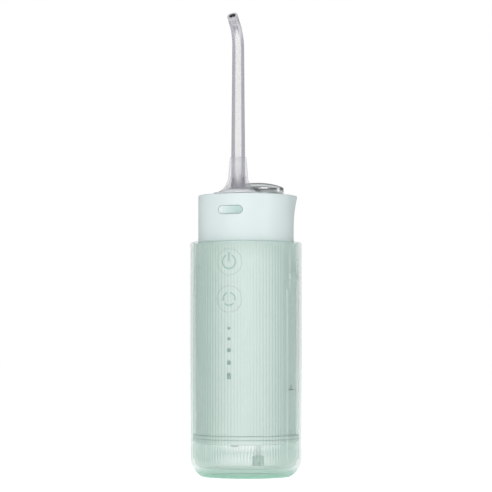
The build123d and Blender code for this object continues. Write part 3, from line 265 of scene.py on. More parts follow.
def fluting(name, finish):
    """Geometry Nodes tree that presses upright flutes into the outer wall of a cup."""
    tree = bpy.data.node_groups.new(name, "GeometryNodeTree")
    face = tree.interface
    face.new_socket("Geometry", in_out="INPUT", socket_type="NodeSocketGeometry")
    for label, value in (
        ("Flutes", flute_count), ("Depth", flute_depth * MM),
        ("Half angle", math.radians(flute_half)), ("Wall radius", (cup_r - 0.5) * MM),
        ("Lowest", flute_foot * MM), ("Highest", (cup_h - 2.4) * MM),
    ):
        socket = face.new_socket(label, in_out="INPUT", socket_type="NodeSocketFloat")
        socket.default_value = value
    face.new_socket("Geometry", in_out="OUTPUT", socket_type="NodeSocketGeometry")
    inlet = tree.nodes.new("NodeGroupInput")
    outlet = tree.nodes.new("NodeGroupOutput")

    def join(source, target):
        if isinstance(source, (int, float)):
            target.default_value = source
        else:
            tree.links.new(source, target)

    def calc(operation, *values):
        node = tree.nodes.new("ShaderNodeMath")
        node.operation = operation
        for socket, value in zip(node.inputs, values):
            join(value, socket)
        return node.outputs[0]

    here = tree.nodes.new("GeometryNodeInputPosition").outputs[0]
    parts = tree.nodes.new("ShaderNodeSeparateXYZ")
    join(here, parts.inputs[0])
    x, y, z = parts.outputs
    angle = calc("ARCTAN2", x, calc("ABSOLUTE", y))
    radius = calc("SQRT", calc("ADD", calc("MULTIPLY", x, x), calc("MULTIPLY", y, y)))
    half_count = calc("DIVIDE", inlet.outputs["Flutes"], 2.0)
    wave = calc("ABSOLUTE", calc("SINE", calc("MULTIPLY", angle, half_count)))
    groove = calc("SUBTRACT", 1.0, calc("POWER", wave, 0.7))
    panel = calc("LESS_THAN", calc("ABSOLUTE", angle), inlet.outputs["Half angle"])
    outer = calc("GREATER_THAN", radius, inlet.outputs["Wall radius"])
    above = calc("GREATER_THAN", z, inlet.outputs["Lowest"])
    below = calc("LESS_THAN", z, inlet.outputs["Highest"])
    mask = calc("MULTIPLY", calc("MULTIPLY", panel, outer), calc("MULTIPLY", above, below))
    depth = calc("MULTIPLY", calc("MULTIPLY", groove, mask), inlet.outputs["Depth"])
    share = calc("DIVIDE", depth, radius)
    push = tree.nodes.new("ShaderNodeCombineXYZ")
    join(calc("MULTIPLY", calc("MULTIPLY", x, share), -1.0), push.inputs[0])
    join(calc("MULTIPLY", calc("MULTIPLY", y, share), -1.0), push.inputs[1])
    move = tree.nodes.new("GeometryNodeSetPosition")
    join(inlet.outputs["Geometry"], move.inputs["Geometry"])
    join(push.outputs[0], move.inputs["Offset"])
    real = tree.nodes.new("GeometryNodeRealizeInstances")
    join(move.outputs[0], real.inputs[0])
    dress = tree.nodes.new("GeometryNodeSetMaterial")
    join(real.outputs[0], dress.inputs["Geometry"])
    dress.inputs["Material"].default_value = finish
    join(dress.outputs[0], outlet.inputs[0])
    return tree


def settle(piece, tree, smooth=True):
    """Runs a Geometry Nodes tree on a piece and keeps the result as its plain mesh."""
    modifier = piece.modifiers.new(tree.name, "NODES")
    modifier.node_group = tree
    bpy.context.view_layer.update()
    ready = piece.evaluated_get(bpy.context.evaluated_depsgraph_get())
    mesh = bpy.data.meshes.new_from_object(ready)
    piece.modifiers.clear()
    piece.data = mesh
    for face in mesh.polygons:
        face.use_smooth = smooth
    return piece


def cup_finish():
    make = Finish("frosted_mint_plastic")
    spot, (x, y, z) = make.place()
    haze = make.grain(spot, 22.0, 1.0)
    low = ((15.0 - z) / 2.0).clip()
    drawn = make.node("Mapping", {}, spot, Scale=(1300.0, 1300.0, 25.0))
    streak = make.node("TexNoise", {}, Vector=drawn, Scale=1.0, Detail=2.0)
    # The lowest 4 mm are tinted a deeper green: partly the thick base's own colour, partly painted
    # refraction shade.
    base = ((4.0 - z) / 2.6).clip()
    around = x.calc("ARCTAN2", x, y.calc("ABSOLUTE", y))
    panel = ((math.radians(flute_half) - x.calc("ABSOLUTE", around)) * 30.0).clip()
    # Painted shade: dark lines lie over the flute grooves on the fluted panels, stronger toward the
    # cup's sides.
    line = x.calc("ABSOLUTE", x.calc("COSINE", around * (flute_count / 2))) ** 4.0 * panel
    edge = make.node("LayerWeight", {}, Blend=0.5, out=1)
    # The clear wall is darker in a band toward the cup's sides: partly the longer path through the
    # wall, partly painted shade for the handle's shaded sides seen through it.
    side = (edge * 3.2).clip() - ((edge - 0.42) * 2.2).clip()
    colour = make.tint(base, (0.92, 0.945, 0.935), (0.33, 0.58, 0.47))
    shine = make.node(
        "BsdfPrincipled", {}, Base_Color=colour, Roughness=0.24 + haze * 0.08, IOR=1.49,
        Normal=make.bump(haze, 0.1, 0.02), Coat_Weight=0.2, Coat_Roughness=0.1,
    )
    # Between about 8 and 15 mm up, the groove lines are painted darker still: painted refraction
    # shade of the flutes in the thick clear bottom.
    lens = ((z - 8.0) / 2.5).clip() * line * low
    # Share of the darker clear colour: painted shade from the side band and the flute lines, plus
    # noise streaks in the low zone.
    density_and_shade = side * (0.8 - low * 0.3) + line * edge * 0.8 + low * streak * 0.3 + lens * 0.7
    clear = make.node(
        "MixShader", {}, density_and_shade.clip(),
        make.node("BsdfTransparent", {}, Color=(0.992, 0.996, 0.994)),
        make.node("BsdfTransparent", {}, Color=(0.74, 0.82, 0.785)),
    )
    tinted = make.node(
        "MixShader", {}, base, clear, make.node("BsdfTransparent", {}, Color=(0.66, 0.84, 0.76)))
    cover = (0.11 + haze * 0.04 + base * 0.35 + (edge ** 3.0) * 0.2).clip()
    return make.surface(make.node("MixShader", {}, cover, tinted, shine))


cup_material = cup_finish()


def wall_shift(angle, z, inner):
    return channel(angle, z) if inner else 0.0


cup_mesh = turned(cup_profile(), cup_columns, wall_shift)
cup = make_piece("tank_cup_fluted", *cup_mesh, cup_material)
settle(cup, fluting("cup_fluting", cup_material))
set_piece(cup, "tank", "tank_plastic", "tank_cup")


# ---- level mark on the side windows ------------------------------------------------
# A small fill mark, a bar with a stem, is printed in grey-green on each window.


def wrapped(outline, radius, thick, place):
    """A thin printed shape on an upright wall: outline in mm as (around, up) points."""
    angle, height = place
    points = []
    for lift in (0.01, thick):
        for across, up in outline:
            turn = math.radians(angle) + across / radius
            reach = radius + lift
            points.append((reach * math.sin(turn), -reach * math.cos(turn), height + up))
    count = len(outline)
    faces = [tuple(range(count))[::-1], tuple(range(count, 2 * count))]
    for index in range(count):
        after = (index + 1) % count
        faces.append((index, after, after + count, index + count))
    return points, faces


def gather(parts):
    """Joins several (points, faces) lists into one."""
    points, faces = [], []
    for some_points, some_faces in parts:
        start = len(points)
        points += some_points
        faces += [tuple(index + start for index in face) for face in some_faces]
    return points, faces


def bar(x0, x1, z0, z1):
    return [(x0, z0), (x1, z0), (x1, z1), (x0, z1)]


def ink_finish(name, colour, rough=0.45):
    make = Finish(name)
    spot, _ = make.place()
    speck = make.grain(spot, 0.25)
    shade = make.tint(speck, colour, tuple(min(1.0, c * 1.12) for c in colour))
    return make.surface(make.node(
        "BsdfPrincipled", {}, Base_Color=shade, Roughness=rough + speck * 0.1,
        Normal=make.bump(speck, 0.1, 0.02),
    ))


mark_ink = ink_finish("level_mark_ink", (0.07, 0.13, 0.11))
mark_width = 4.2
mark_stem = 2.3
mark_line = 0.55
mark_height = 43.7
mark_angle = 72.0
mark_shapes = (
    bar(-mark_width / 2, mark_width / 2, -mark_line / 2, mark_line / 2),
    bar(-mark_line / 2, mark_line / 2, mark_line / 2, mark_stem),
)
level_marks = make_piece("level_marks", *gather([
    wrapped(shape, cup_r, 0.03, (side * mark_angle, mark_height))
    for side in (-1, 1) for shape in mark_shapes
]), mark_ink, smooth=False)
set_piece(level_marks, "tank", "tank_plastic")

# ---- intake tube and its filter foot -------------------------------------------------
# A stiff white tube stands on a slotted foot on the cup's floor, and slides in a
# sleeve inside the handle when the handle is pulled out.


def dress(node, finish):
    """Gives a CAD node that keeps its shape its own finish."""
    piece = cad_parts[node]
    piece.data.materials.clear()
    piece.data.materials.append(finish)


def moulded_finish(name, colour, grain_mm=0.5, rough=0.45, depth=0.02, coat=0.0):
    """Moulded plastic: a faint mottle in the colour and a fine matt grain."""
    make = Finish(name)
    spot, _ = make.place()
    cloud = make.grain(spot, 14.0)
    fine = make.grain(spot, grain_mm, 5.0)
    darker = tuple(c * 0.97 for c in colour)
    paler = tuple(min(1.0, c * 1.03) for c in colour)
    shade = make.tint(cloud, darker, paler)
    return make.surface(make.node(
        "BsdfPrincipled", {}, Base_Color=shade, Roughness=rough + (fine - 0.5) * 0.14,
        Coat_Weight=coat, Coat_Roughness=0.2, Normal=make.bump(fine, 0.35, depth),
    ))


white_plastic = moulded_finish("white_inner_plastic", (0.80, 0.84, 0.82))
tube_clear = Finish("clear_intake_plastic")
tube_spot, _ = tube_clear.place()
tube_haze = tube_clear.grain(tube_spot, 12.0, 1.0)
tube_clear.surface(tube_clear.node(
    "MixShader", {}, 0.04 + tube_haze * 0.04,
    tube_clear.node("BsdfTransparent", {}, Color=(0.985, 0.99, 0.987)),
    tube_clear.node(
        "BsdfPrincipled", {}, Base_Color=(0.80, 0.87, 0.84), Roughness=0.2 + tube_haze * 0.1),
))
dress("intake_tube", tube_clear.material)
dress("intake_filter", moulded_finish("filter_plastic", (0.93, 0.96, 0.95)))

# ---- handle skin ---------------------------------------------------------------------
# The handle is a satin mint tube that closes the cup like a piston.  A soft lobed
# seal sits between it and its bottom cap, and lugs at the sides run in the cup.

skin_satin = moulded_finish("mint_handle_plastic", (0.87, 0.915, 0.90), 0.35, 0.42)
dress("housing_shell", skin_satin)
dress("bottom_cap", moulded_finish("mint_cap_plastic", (0.93, 0.96, 0.95), 0.35, 0.42))


def seal_finish():
    """Rubber with a painted shadow line at each of the seal's two ends, where the gaps to the cap
    and the shell fall in shade.
    """
    low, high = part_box("piston_seal")
    make = Finish("seal_rubber")
    spot, (_, _, z) = make.place()
    fine = make.grain(spot, 0.2, 4.0)
    middle, half = (low.z + high.z) / 2 / MM, (high.z - low.z) / 2 / MM
    # Painted shadow: the seal darkens over the last 0.6 mm toward each end.
    gap_shadow = ((z.calc("ABSOLUTE", z - middle) - (half - 0.6)) / 0.3).clip()
    shade = make.tint(gap_shadow, (0.88, 0.92, 0.905), (0.56, 0.67, 0.63))
    return make.surface(make.node(
        "BsdfPrincipled", {}, Base_Color=shade, Roughness=0.55 + fine * 0.1,
        Normal=make.bump(fine, 0.3, 0.01),
    ))


dress("piston_seal", seal_finish())
dress("housing_oring", moulded_finish("ring_rubber", (0.20, 0.30, 0.27), 0.2, 0.6, 0.01))
handle_r = 25.2

# ---- power and mode buttons ------------------------------------------------------------
# Two round caps lie flush in the handle's front and press a switch behind.  Each has
# a fine moulded ring at its edge and a printed sign: a power sign, and three arcs.

button_r = 6.35
sign_thick = 0.04
sign_ink = ink_finish("sign_ink", (0.44, 0.58, 0.52))
ring_ink = ink_finish("ring_ink", (0.72, 0.80, 0.77))


def arc_strip(radius, width, start, end, step=4.0):
    """Pieces of a flat ring, in mm, between two angles in degrees from straight up."""
    count = max(2, int(abs(end - start) / step))
    shapes = []
    for index in range(count):
        a, b = (math.radians(start + (end - start) * (index + k) / count) for k in (0, 1))
        inner, outer = radius - width / 2, radius + width / 2
        shapes.append([
            (inner * math.sin(a), inner * math.cos(a)), (inner * math.sin(b), inner * math.cos(b)),
            (outer * math.sin(b), outer * math.cos(b)), (outer * math.sin(a), outer * math.cos(a)),
        ])
    return shapes


def sign(name, body, slot, height, shapes, finish):
    piece = make_piece(name, *gather([
        wrapped(shape, handle_r, sign_thick, (0.0, height)) for shape in shapes
    ]), finish, smooth=False)
    set_piece(piece, body, slot)


button_satin = moulded_finish("mint_button_plastic", (0.875, 0.92, 0.905), 0.35, 0.38)
for key, body in (("power", "power_key"), ("mode", "mode_key")):
    node = key + "_button"
    dress(node, button_satin)
    low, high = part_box(node)
    middle = (low.z + high.z) / 2 / MM
    ring = arc_strip(button_r - 0.1, 0.16, 0, 360)
    sign(key + "_ring", body, "button_plastic", middle, ring, ring_ink)
    if key == "power":
        shapes = arc_strip(3.4, 0.8, 26, 334) + [bar(-0.38, 0.38, 0.0, 4.6)]
    else:
        shapes = []
        for start in (12, 132, 252):
            shapes += arc_strip(3.1, 0.75, start, start + 92)
    sign(key + "_sign", body, "button_plastic", middle, shapes, sign_ink)

# ---- indicators --------------------------------------------------------------------------
# Five light pipes end flush in the handle below the buttons.  A tiny sign is printed
# over each: three strengths as growing dots, a water drop, and a battery.

pipe_glow = moulded_finish("light_pipe_plastic", (0.62, 0.76, 0.72), 0.3, 0.3)
dress("indicator_pipes", pipe_glow)
dot_ink = ink_finish("indicator_ink", (0.24, 0.37, 0.33))


def dot(radius):
    turns = [t * math.pi / 12 for t in range(24)]
    return [(radius * math.cos(turn), radius * math.sin(turn)) for turn in turns]


def drop(radius, top):
    lower = [(radius * math.sin(t), -radius * math.cos(t)) for t in
             (math.radians(-125 + 250 * k / 20) for k in range(21))]
    return [(x, z - 0.15) for x, z in lower] + [(0.0, top)]


def battery(width, height):
    half = width / 2
    crown = [(half * math.cos(t), height / 2 - half + half * math.sin(t)) for t in
             (math.pi * k / 10 for k in range(11))]
    return [(-half, -height / 2), (half, -height / 2)] + crown


indicator_shapes = (
    ("weak", 74.0, dot(0.75)), ("medium", 68.8, dot(0.8)), ("strong", 63.2, dot(1.05)),
    ("water", 57.1, drop(1.0, 1.5)), ("charge", 50.6, battery(2.0, 3.3)),
)
for name, height, shape in indicator_shapes:
    sign(name + "_sign", "handle", "handle_plastic", height, [shape], dot_ink)

# ---- head ----------------------------------------------------------------------------------
# A paler satin shell closes the handle's top.  Its back flares into a lip for a
# fingertip, and its deck has openings for the nozzle and the release button.

head_satin = moulded_finish("pale_head_plastic", (0.71, 0.785, 0.78), 0.3, 0.40, 0.012, 0.15)
dress("head_shell", head_satin)

# ---- port cover ------------------------------------------------------------------------------
# A soft silicone pill covers the charging port.  It has a raised rim and a shallow
# dished middle, and hinges on its left edge.

port_z = 132.6
port_w = 12.6
port_h = 4.1
port_rim = 0.42
port_dish = 0.22
head_r = 24.0
port_thick = 1.2


def pill(width, height, count=14):
    """Outline of a round-ended bar, anticlockwise, from its right end's foot."""
    radius = height / 2
    reach = width / 2 - radius
    right = [(reach + radius * math.cos(t), radius * math.sin(t)) for t in
             (math.radians(-90 + 180 * k / count) for k in range(count + 1))]
    left = [(-reach + radius * math.cos(t), radius * math.sin(t)) for t in
            (math.radians(90 + 180 * k / count) for k in range(count + 1))]
    return right + left


def skin_faces(rows, count):
    """Faces between rings of equal length, with a lid on the first and the last."""
    faces = []
    for row in range(rows - 1):
        low, high = row * count, (row + 1) * count
        for index in range(count):
            after = (index + 1) % count
            faces.append((low + index, low + after, high + after, high + index))
    faces.append(tuple(range(count))[::-1])
    faces.append(tuple(range((rows - 1) * count, rows * count)))
    return faces


def shell_rings(rings, finish, name):
    """A closed skin through outlines of equal length; each is (outline, depth radius)."""
    points = []
    for outline, radius in rings:
        for across, up in outline:
            turn = math.asin(max(-1.0, min(1.0, across / head_r)))
            points.append((radius * math.sin(turn), -radius * math.cos(turn), port_z + up))
    return make_piece(name, points, skin_faces(len(rings), len(rings[0][0])), finish)


def outward(piece):
    """Turns every face of a closed mesh to the outside."""
    work = bmesh.new()
    work.from_mesh(piece.data)
    bmesh.ops.remove_doubles(work, verts=work.verts, dist=1e-7)
    bmesh.ops.recalc_face_normals(work, faces=work.faces)
    work.to_mesh(piece.data)
    work.free()
    return piece


cover_make = Finish("cover_silicone")
cover_spot, (cover_x, _, _) = cover_make.place()
cover_grain = cover_make.grain(cover_spot, 0.25, 5.0)
# The plug is a darker green than the head; over it a painted gradient runs from a lit pale left end
# to a shaded right end.
cover_share = ((cover_x + 5.6) / 9.0).clip()
cover_painted_shade = cover_make.tint(cover_share, (0.72, 0.81, 0.80), (0.47, 0.62, 0.59))
cover_soft = cover_make.surface(cover_make.node(
    "BsdfPrincipled", {}, Base_Color=cover_painted_shade, Roughness=0.45 + cover_grain * 0.1,
    Normal=cover_make.bump(cover_grain, 0.35, 0.01),
))
cover = shell_rings([
    (pill(7.2, 1.6), head_r - port_thick - 0.9),
    (pill(7.4, 1.8), head_r - port_thick - 0.7),
    (pill(7.4, 1.8), head_r - port_thick),
    (pill(port_w, port_h), head_r - port_thick),
    (pill(port_w, port_h), head_r - 0.12),
    (pill(port_w - 0.2, port_h - 0.2), head_r - 0.01),
    (pill(port_w - 2 * port_rim, port_h - 2 * port_rim), head_r - 0.01),
    (pill(port_w - 2 * port_rim - 0.3, port_h - 2 * port_rim - 0.3), head_r - port_dish),
    (pill(port_w - 2.6, port_h - 2.4), head_r - port_dish - 0.04),
], cover_soft, "port_cover_pill")
outward(cover)
set_piece(cover, "port_flap", "soft_cover", "port_cover")

# ---- nozzle tube -------------------------------------------------------------------------------
# The jet is one clear grey tube, drawn slightly thinner toward its bend.  Its stem has
# a groove for the sealing ring and a shallower one for the clip that holds it.

nozzle_y = -11.7
bend_z = 214.0
bend_r = 16.0
bend_angle = 45.0
bend_end = 3.6
stem_r = 3.0
sleeve_bore = 3.45
tube_r = 2.98
mouth_r = 2.68
bore_r = 1.1
jet_r = 0.9
ring_groove = (124.15, 125.85, 1.6)
clip_groove = (132.2, 133.8, 2.4)
skirt_low, skirt_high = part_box("nozzle_skirt")
tube_low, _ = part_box("nozzle_tube")
skirt_z = skirt_low.z / MM
sleeve_top = skirt_high.z / MM
skirt_r = skirt_high.x / MM


def clear_finish(name, light, dark, rough, cover_low, cover_high, milky=None):
    """Clear plastic: a darker band runs between the face-on middle and the rim, partly for the
    longer path through the wall and partly as painted refraction shade.

    The bore is left bright.  Below a milky height the plastic lets less through.
    """
    make = Finish(name)
    spot, (x, y, z) = make.place()
    drawn = make.grain(spot, 16.0, 1.0)
    off_y = y - nozzle_y
    wall = ((x * x + off_y * off_y) ** 0.5 - 1.6).clip()
    rim = make.node("LayerWeight", {}, Blend=0.5, out=1)
    # Painted refraction shade: darkest from 0.17 to 0.62 facing, lighter again at the very rim.
    grey = [(0.07, 0.0), (0.17, 1.0), (0.62, 0.9), (0.9, 0.35)]
    stops = [(place, (share, share, share)) for place, share in grey]
    ramp = make.node("ValToRGB", {"ramp": stops}, rim)
    density_and_shade = ramp * wall
    body = make.node(
        "BsdfPrincipled", {}, Base_Color=make.tint(density_and_shade, light, dark),
        Roughness=rough + drawn * 0.05, IOR=1.49, Coat_Weight=0.5, Coat_Roughness=0.05,
        Normal=make.bump(drawn, 0.1, 0.02),
    )
    clear = make.node(
        "MixShader", {}, density_and_shade, make.node("BsdfTransparent", {}, Color=light),
        make.node("BsdfTransparent", {}, Color=dark),
    )
    cover_share = cover_low + (rim ** 1.5) * (cover_high - cover_low)
    if milky:
        height, share = milky
        cover_share = cover_share + (height - z).clip() * wall * share
    return make.surface(make.node("MixShader", {}, cover_share.clip() * wall, clear, body))


clear_tube = clear_finish(
    "clear_grey_tube", (0.955, 0.955, 0.95), (0.63, 0.62, 0.665), 0.10, 0.24, 0.6,
    (sleeve_top, 0.42))
clear_skirt = clear_finish(
    "clear_grey_skirt", (0.99, 0.99, 0.99), (0.95, 0.945, 0.96), 0.12, 0.05, 0.45,
    (skirt_z + 2.0, 0.6))
# The fins are a darker grey: painted shade for the thin dark lines the fins make inside the clear
# skirt.
clear_fin = clear_finish(
    "clear_grey_fin", (0.62, 0.61, 0.66), (0.52, 0.51, 0.56), 0.2, 0.5, 0.8)
clear_tip = clear_finish(
    "clear_tip", (0.86, 0.86, 0.86), (0.74, 0.73, 0.76), 0.16, 0.5, 0.9)


def centre_line(start_z, past=0.0, bend_steps=18):
    """Points and directions along the tube's middle, in mm."""
    full = math.radians(bend_angle)
    line = [((0, nozzle_y, start_z), 0.0), ((0, nozzle_y, bend_z), 0.0)]
    for step in range(1, bend_steps + 1):
        turn = full * step / bend_steps
        drop_y = nozzle_y - bend_r * (1 - math.cos(turn))
        line.append(((0, drop_y, bend_z + bend_r * math.sin(turn)), turn))
    (x, y, z), turn = line[-1]
    reach = bend_end + past
    line.append(((x, y - reach * math.sin(turn), z + reach * math.cos(turn)), turn))
    return line


def along(line, radii, sides=64):
    """Rings about a bent line: radii are given one for each of the line's points."""
    points = []
    for ((x, y, z), turn), radius in zip(line, radii):
        for side in range(sides):
            a = 2 * math.pi * side / sides
            across, back = radius * math.cos(a), radius * math.sin(a)
            points.append((x + across, y + back * math.cos(turn), z + back * math.sin(turn)))
    return points


def tube_mesh(name, outer, inner, finish, sides=64):
    """A tube with closed rims from two runs of (line, radii)."""
    points = along(*outer, sides) + along(inner[0][::-1], inner[1][::-1], sides)
    rows = len(points) // sides
    faces = []
    for row in range(rows):
        below, above = row * sides, ((row + 1) % rows) * sides
        for side in range(sides):
            after = (side + 1) % sides
            faces.append((below + side, below + after, above + after, above + side))
    return outward(make_piece(name, points, faces, finish))


def neck(z):
    """Outer radius of the tube at a height."""
    if z <= skirt_z:
        return stem_r
    if z <= sleeve_top:
        return sleeve_bore
    share = min(1.0, (z - sleeve_top) / (bend_z - sleeve_top))
    return sleeve_bore + (tube_r - sleeve_bore) * share


stem_foot = tube_low.z / MM
stem = [(stem_foot, stem_r - 0.3), (stem_foot + 0.3, stem_r)]
for low, high, groove_r in (ring_groove, clip_groove):
    stem += [(low, stem_r), (low, groove_r), (high, groove_r), (high, stem_r)]
stem += [(skirt_z, stem_r), (skirt_z + 0.01, 3.44), (sleeve_top + 0.2, 3.44)]
stem += [(z, neck(z)) for z in (180.0, bend_z - 4)]
bent = centre_line(bend_z)[1:]
stem_line = [((0, nozzle_y, z), 0.0) for z, _ in stem] + bent
stem_radii = [r for _, r in stem] + [
    tube_r + (mouth_r - tube_r) * index / (len(bent) - 1) for index in range(len(bent))
]
bore_line = centre_line(stem_foot)
bore_radii = [bore_r] * (len(bore_line) - 1) + [jet_r]
tube = tube_mesh("nozzle_clear_tube", (stem_line, stem_radii), (bore_line, bore_radii), clear_tube)
set_piece(tube, "nozzle", "nozzle_plastic", "nozzle_tube")

# ---- nozzle tip --------------------------------------------------------------------------------
# A short clear collar is moulded round the tube's end, with a rounded rim.  Its mouth
# is lined with a near-black shallow funnel down to the bore.

tip_length = 2.2
(tip_x, tip_y, tip_z), tip_turn = centre_line(bend_z)[-1]


def tip_point(step):
    return (tip_x, tip_y - step * math.sin(tip_turn), tip_z + step * math.cos(tip_turn)), tip_turn


def tip_run(profile):
    """The line and the radii of a profile of (step past the tube's end, radius)."""
    return [tip_point(step) for step, _ in profile], [radius for _, radius in profile]


tip_outer = [
    (0.03, 2.3), (0.12, 2.6), (0.6, 2.65), (tip_length - 0.55, 2.65), (tip_length - 0.2, 2.52),
    (tip_length - 0.03, 2.25), (tip_length, 1.95),
]
tip_inner = [
    (0.03, 0.45), (tip_length - 1.2, 0.45), (tip_length - 1.15, 1.5), (tip_length - 0.2, 1.66),
    (tip_length - 0.02, 1.8),
]
tip = tube_mesh("nozzle_clear_tip", tip_run(tip_outer), tip_run(tip_inner), clear_tip)
set_piece(tip, "nozzle", "nozzle_plastic", "nozzle_tip")

lining_outer = [(tip_length - 1.12, 1.46), (tip_length - 0.25, 1.62)]
lining_inner = [(tip_length - 1.0, 0.46), (tip_length - 0.25, 1.54)]
mouth_dark_lining = moulded_finish("mouth_dark_lining", (0.05, 0.05, 0.055), 0.2, 0.5, 0.01)
lining = tube_mesh(
    "tip_mouth_lining", tip_run(lining_outer), tip_run(lining_inner), mouth_dark_lining)
set_piece(lining, "nozzle", "soft_seal")

# ---- nozzle skirt and fins -----------------------------------------------------------------------
# A hollow clear flare is moulded round the tube and covers the opening in the head.
# Short upright fins inside it stiffen the sleeve.

flare_z = 149.4
flare_r = 4.95
sleeve_r = 4.15
skirt_edge = 0.45
skirt_wall = 0.85
skirt_bore = 3.47


def flare(share):
    """Radius and height along the skirt's hollow curve, from its top to its edge."""
    turn = share * math.pi / 2
    reach = skirt_r - flare_r
    drop = flare_z - skirt_z - skirt_edge
    return flare_r + reach * (1 - math.cos(turn)) ** 0.92, flare_z - drop * math.sin(turn) ** 1.08


skirt_profile = [
    (skirt_bore, sleeve_top), (sleeve_r - 0.3, sleeve_top), (sleeve_r - 0.04, sleeve_top - 0.25),
    (sleeve_r, sleeve_top - 0.5), ((sleeve_r + flare_r) / 2 - 0.02, (sleeve_top + flare_z) / 2),
]
skirt_profile += [flare(k / 24) for k in range(25)]
skirt_profile += [(skirt_r, skirt_z + 0.06), (skirt_r - 0.06, skirt_z)]
skirt_profile += [(skirt_r - 1.5, skirt_z), (skirt_r - 2.0, skirt_z + 0.35)]
inner_curve = [flare(k / 16) for k in range(16, -1, -1)]
skirt_profile += [(max(3.7, r - skirt_wall), z - 0.35) for r, z in inner_curve if r < skirt_r - 2.2]
skirt_profile += [(3.6, flare_z + 1.0), (skirt_bore, flare_z + 1.4)]
skirt = outward(make_piece(
    "nozzle_clear_skirt", *turned(skirt_profile, 128, None, nozzle_y, closed=True), clear_skirt
))
set_piece(skirt, "nozzle", "nozzle_plastic", "nozzle_skirt")

fin_count = 4
fin_start = -25.5
fin_thick = 0.55
fin_reach = 5.3
fin_root = 3.55
fin_foot = skirt_z + 1.2


def fin_tree(name, finish):
    """Geometry Nodes tree that repeats one fin around the nozzle's axis."""
    tree = bpy.data.node_groups.new(name, "GeometryNodeTree")
    face = tree.interface
    face.new_socket("Geometry", in_out="INPUT", socket_type="NodeSocketGeometry")
    face.new_socket("Count", in_out="INPUT", socket_type="NodeSocketInt").default_value = fin_count
    centre = face.new_socket("Axis", in_out="INPUT", socket_type="NodeSocketVector")
    centre.default_value = (0.0, nozzle_y * MM, 0.0)
    face.new_socket("Geometry", in_out="OUTPUT", socket_type="NodeSocketGeometry")
    inlet, outlet = tree.nodes.new("NodeGroupInput"), tree.nodes.new("NodeGroupOutput")
    line = tree.nodes.new("GeometryNodeMeshLine")
    line.mode = "OFFSET"
    line.inputs["Offset"].default_value = (0, 0, 0)
    spread = tree.nodes.new("GeometryNodeInstanceOnPoints")
    index = tree.nodes.new("GeometryNodeInputIndex")
    share = tree.nodes.new("ShaderNodeMath")
    share.operation = "DIVIDE"
    turn = tree.nodes.new("ShaderNodeMath")
    turn.operation = "MULTIPLY"
    turn.inputs[1].default_value = 2 * math.pi
    lift = tree.nodes.new("ShaderNodeCombineXYZ")
    real = tree.nodes.new("GeometryNodeRealizeInstances")
    coat = tree.nodes.new("GeometryNodeSetMaterial")
    coat.inputs["Material"].default_value = finish
    link = tree.links.new
    link(inlet.outputs["Count"], line.inputs["Count"])
    link(inlet.outputs["Axis"], line.inputs["Start Location"])
    link(line.outputs[0], spread.inputs["Points"])
    link(inlet.outputs["Geometry"], spread.inputs["Instance"])
    link(index.outputs[0], share.inputs[0])
    link(inlet.outputs["Count"], share.inputs[1])
    link(share.outputs[0], turn.inputs[0])
    link(turn.outputs[0], lift.inputs[2])
    link(lift.outputs[0], spread.inputs["Rotation"])
    link(spread.outputs[0], real.inputs[0])
    link(real.outputs[0], coat.inputs["Geometry"])
    link(coat.outputs[0], outlet.inputs[0])
    return tree


fin_edge = [(r - skirt_wall - 0.08, z - 0.45) for r, z in inner_curve
            if 4.0 < r - skirt_wall < fin_reach]
fin_outline = [(fin_root, fin_foot), (fin_edge[0][0], fin_foot)] + fin_edge
fin_outline.append((fin_root, flare_z - 0.6))
count = len(fin_outline)
fin_cos, fin_sin = math.cos(math.radians(fin_start)), math.sin(math.radians(fin_start))
fin_points = [(r * fin_cos - across * fin_sin, r * fin_sin + across * fin_cos, z)
              for across in (-fin_thick / 2, fin_thick / 2) for r, z in fin_outline]
fin_faces = [tuple(range(count)), tuple(range(count, 2 * count))[::-1]]
fin_faces += [(i, i + count, (i + 1) % count + count, (i + 1) % count) for i in range(count)]
fins = outward(make_piece("nozzle_fins", fin_points, fin_faces, clear_fin, smooth=False))
settle(fins, fin_tree("fin_ring", clear_fin), smooth=False)
set_piece(fins, "nozzle", "nozzle_plastic")
dress("nozzle_oring", moulded_finish("nozzle_ring_rubber", (0.12, 0.12, 0.13), 0.2, 0.5, 0.01))
dress("swivel_sleeve", white_plastic)

# ---- release button ---------------------------------------------------------------------------
# A domed oval button of polished metal stands behind the nozzle.  It is drawn from
# sheet with a small rounded shoulder, then brushed along its length.

release_low, release_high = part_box("release_button")
release_x = release_high.x / MM
release_y = (release_high.y - release_low.y) / 2 / MM
release_at = (release_high.y + release_low.y) / 2 / MM
release_top = release_high.z / MM
release_wall_top = 145.5
release_foot = 138.7
release_wall = 1.4
shoulder = 0.35


def metal_finish():
    make = Finish("brushed_bright_metal")
    spot, _ = make.place()
    stretched = make.node("Mapping", {}, spot, Scale=(60.0, 1400.0, 1400.0))
    lines = make.node("TexNoise", {}, Vector=stretched, Scale=1.0, Detail=4.0)
    cloud = make.grain(spot, 6.0)
    shade = make.tint(lines * 0.4, (0.50, 0.50, 0.505), (0.66, 0.66, 0.665))
    return make.surface(make.node(
        "BsdfPrincipled", {}, Base_Color=shade, Metallic=1.0,
        Roughness=0.17 + lines * 0.10 + cloud * 0.05, Normal=make.bump(lines, 0.08, 0.01),
    ))


def oval_rings(rings, columns=160):
    """Rings of (inset, height); a negative inset is a share of the button's full size."""
    points = []
    for inset, z in rings:
        for column in range(columns):
            turn = 2 * math.pi * column / columns
            half_x, half_y = release_x - inset, release_y - inset
            if inset < 0:
                half_x, half_y = release_x * -inset, release_y * -inset
            points.append((half_x * math.cos(turn), release_at + half_y * math.sin(turn), z))
    return points, skin_faces(len(rings), columns)


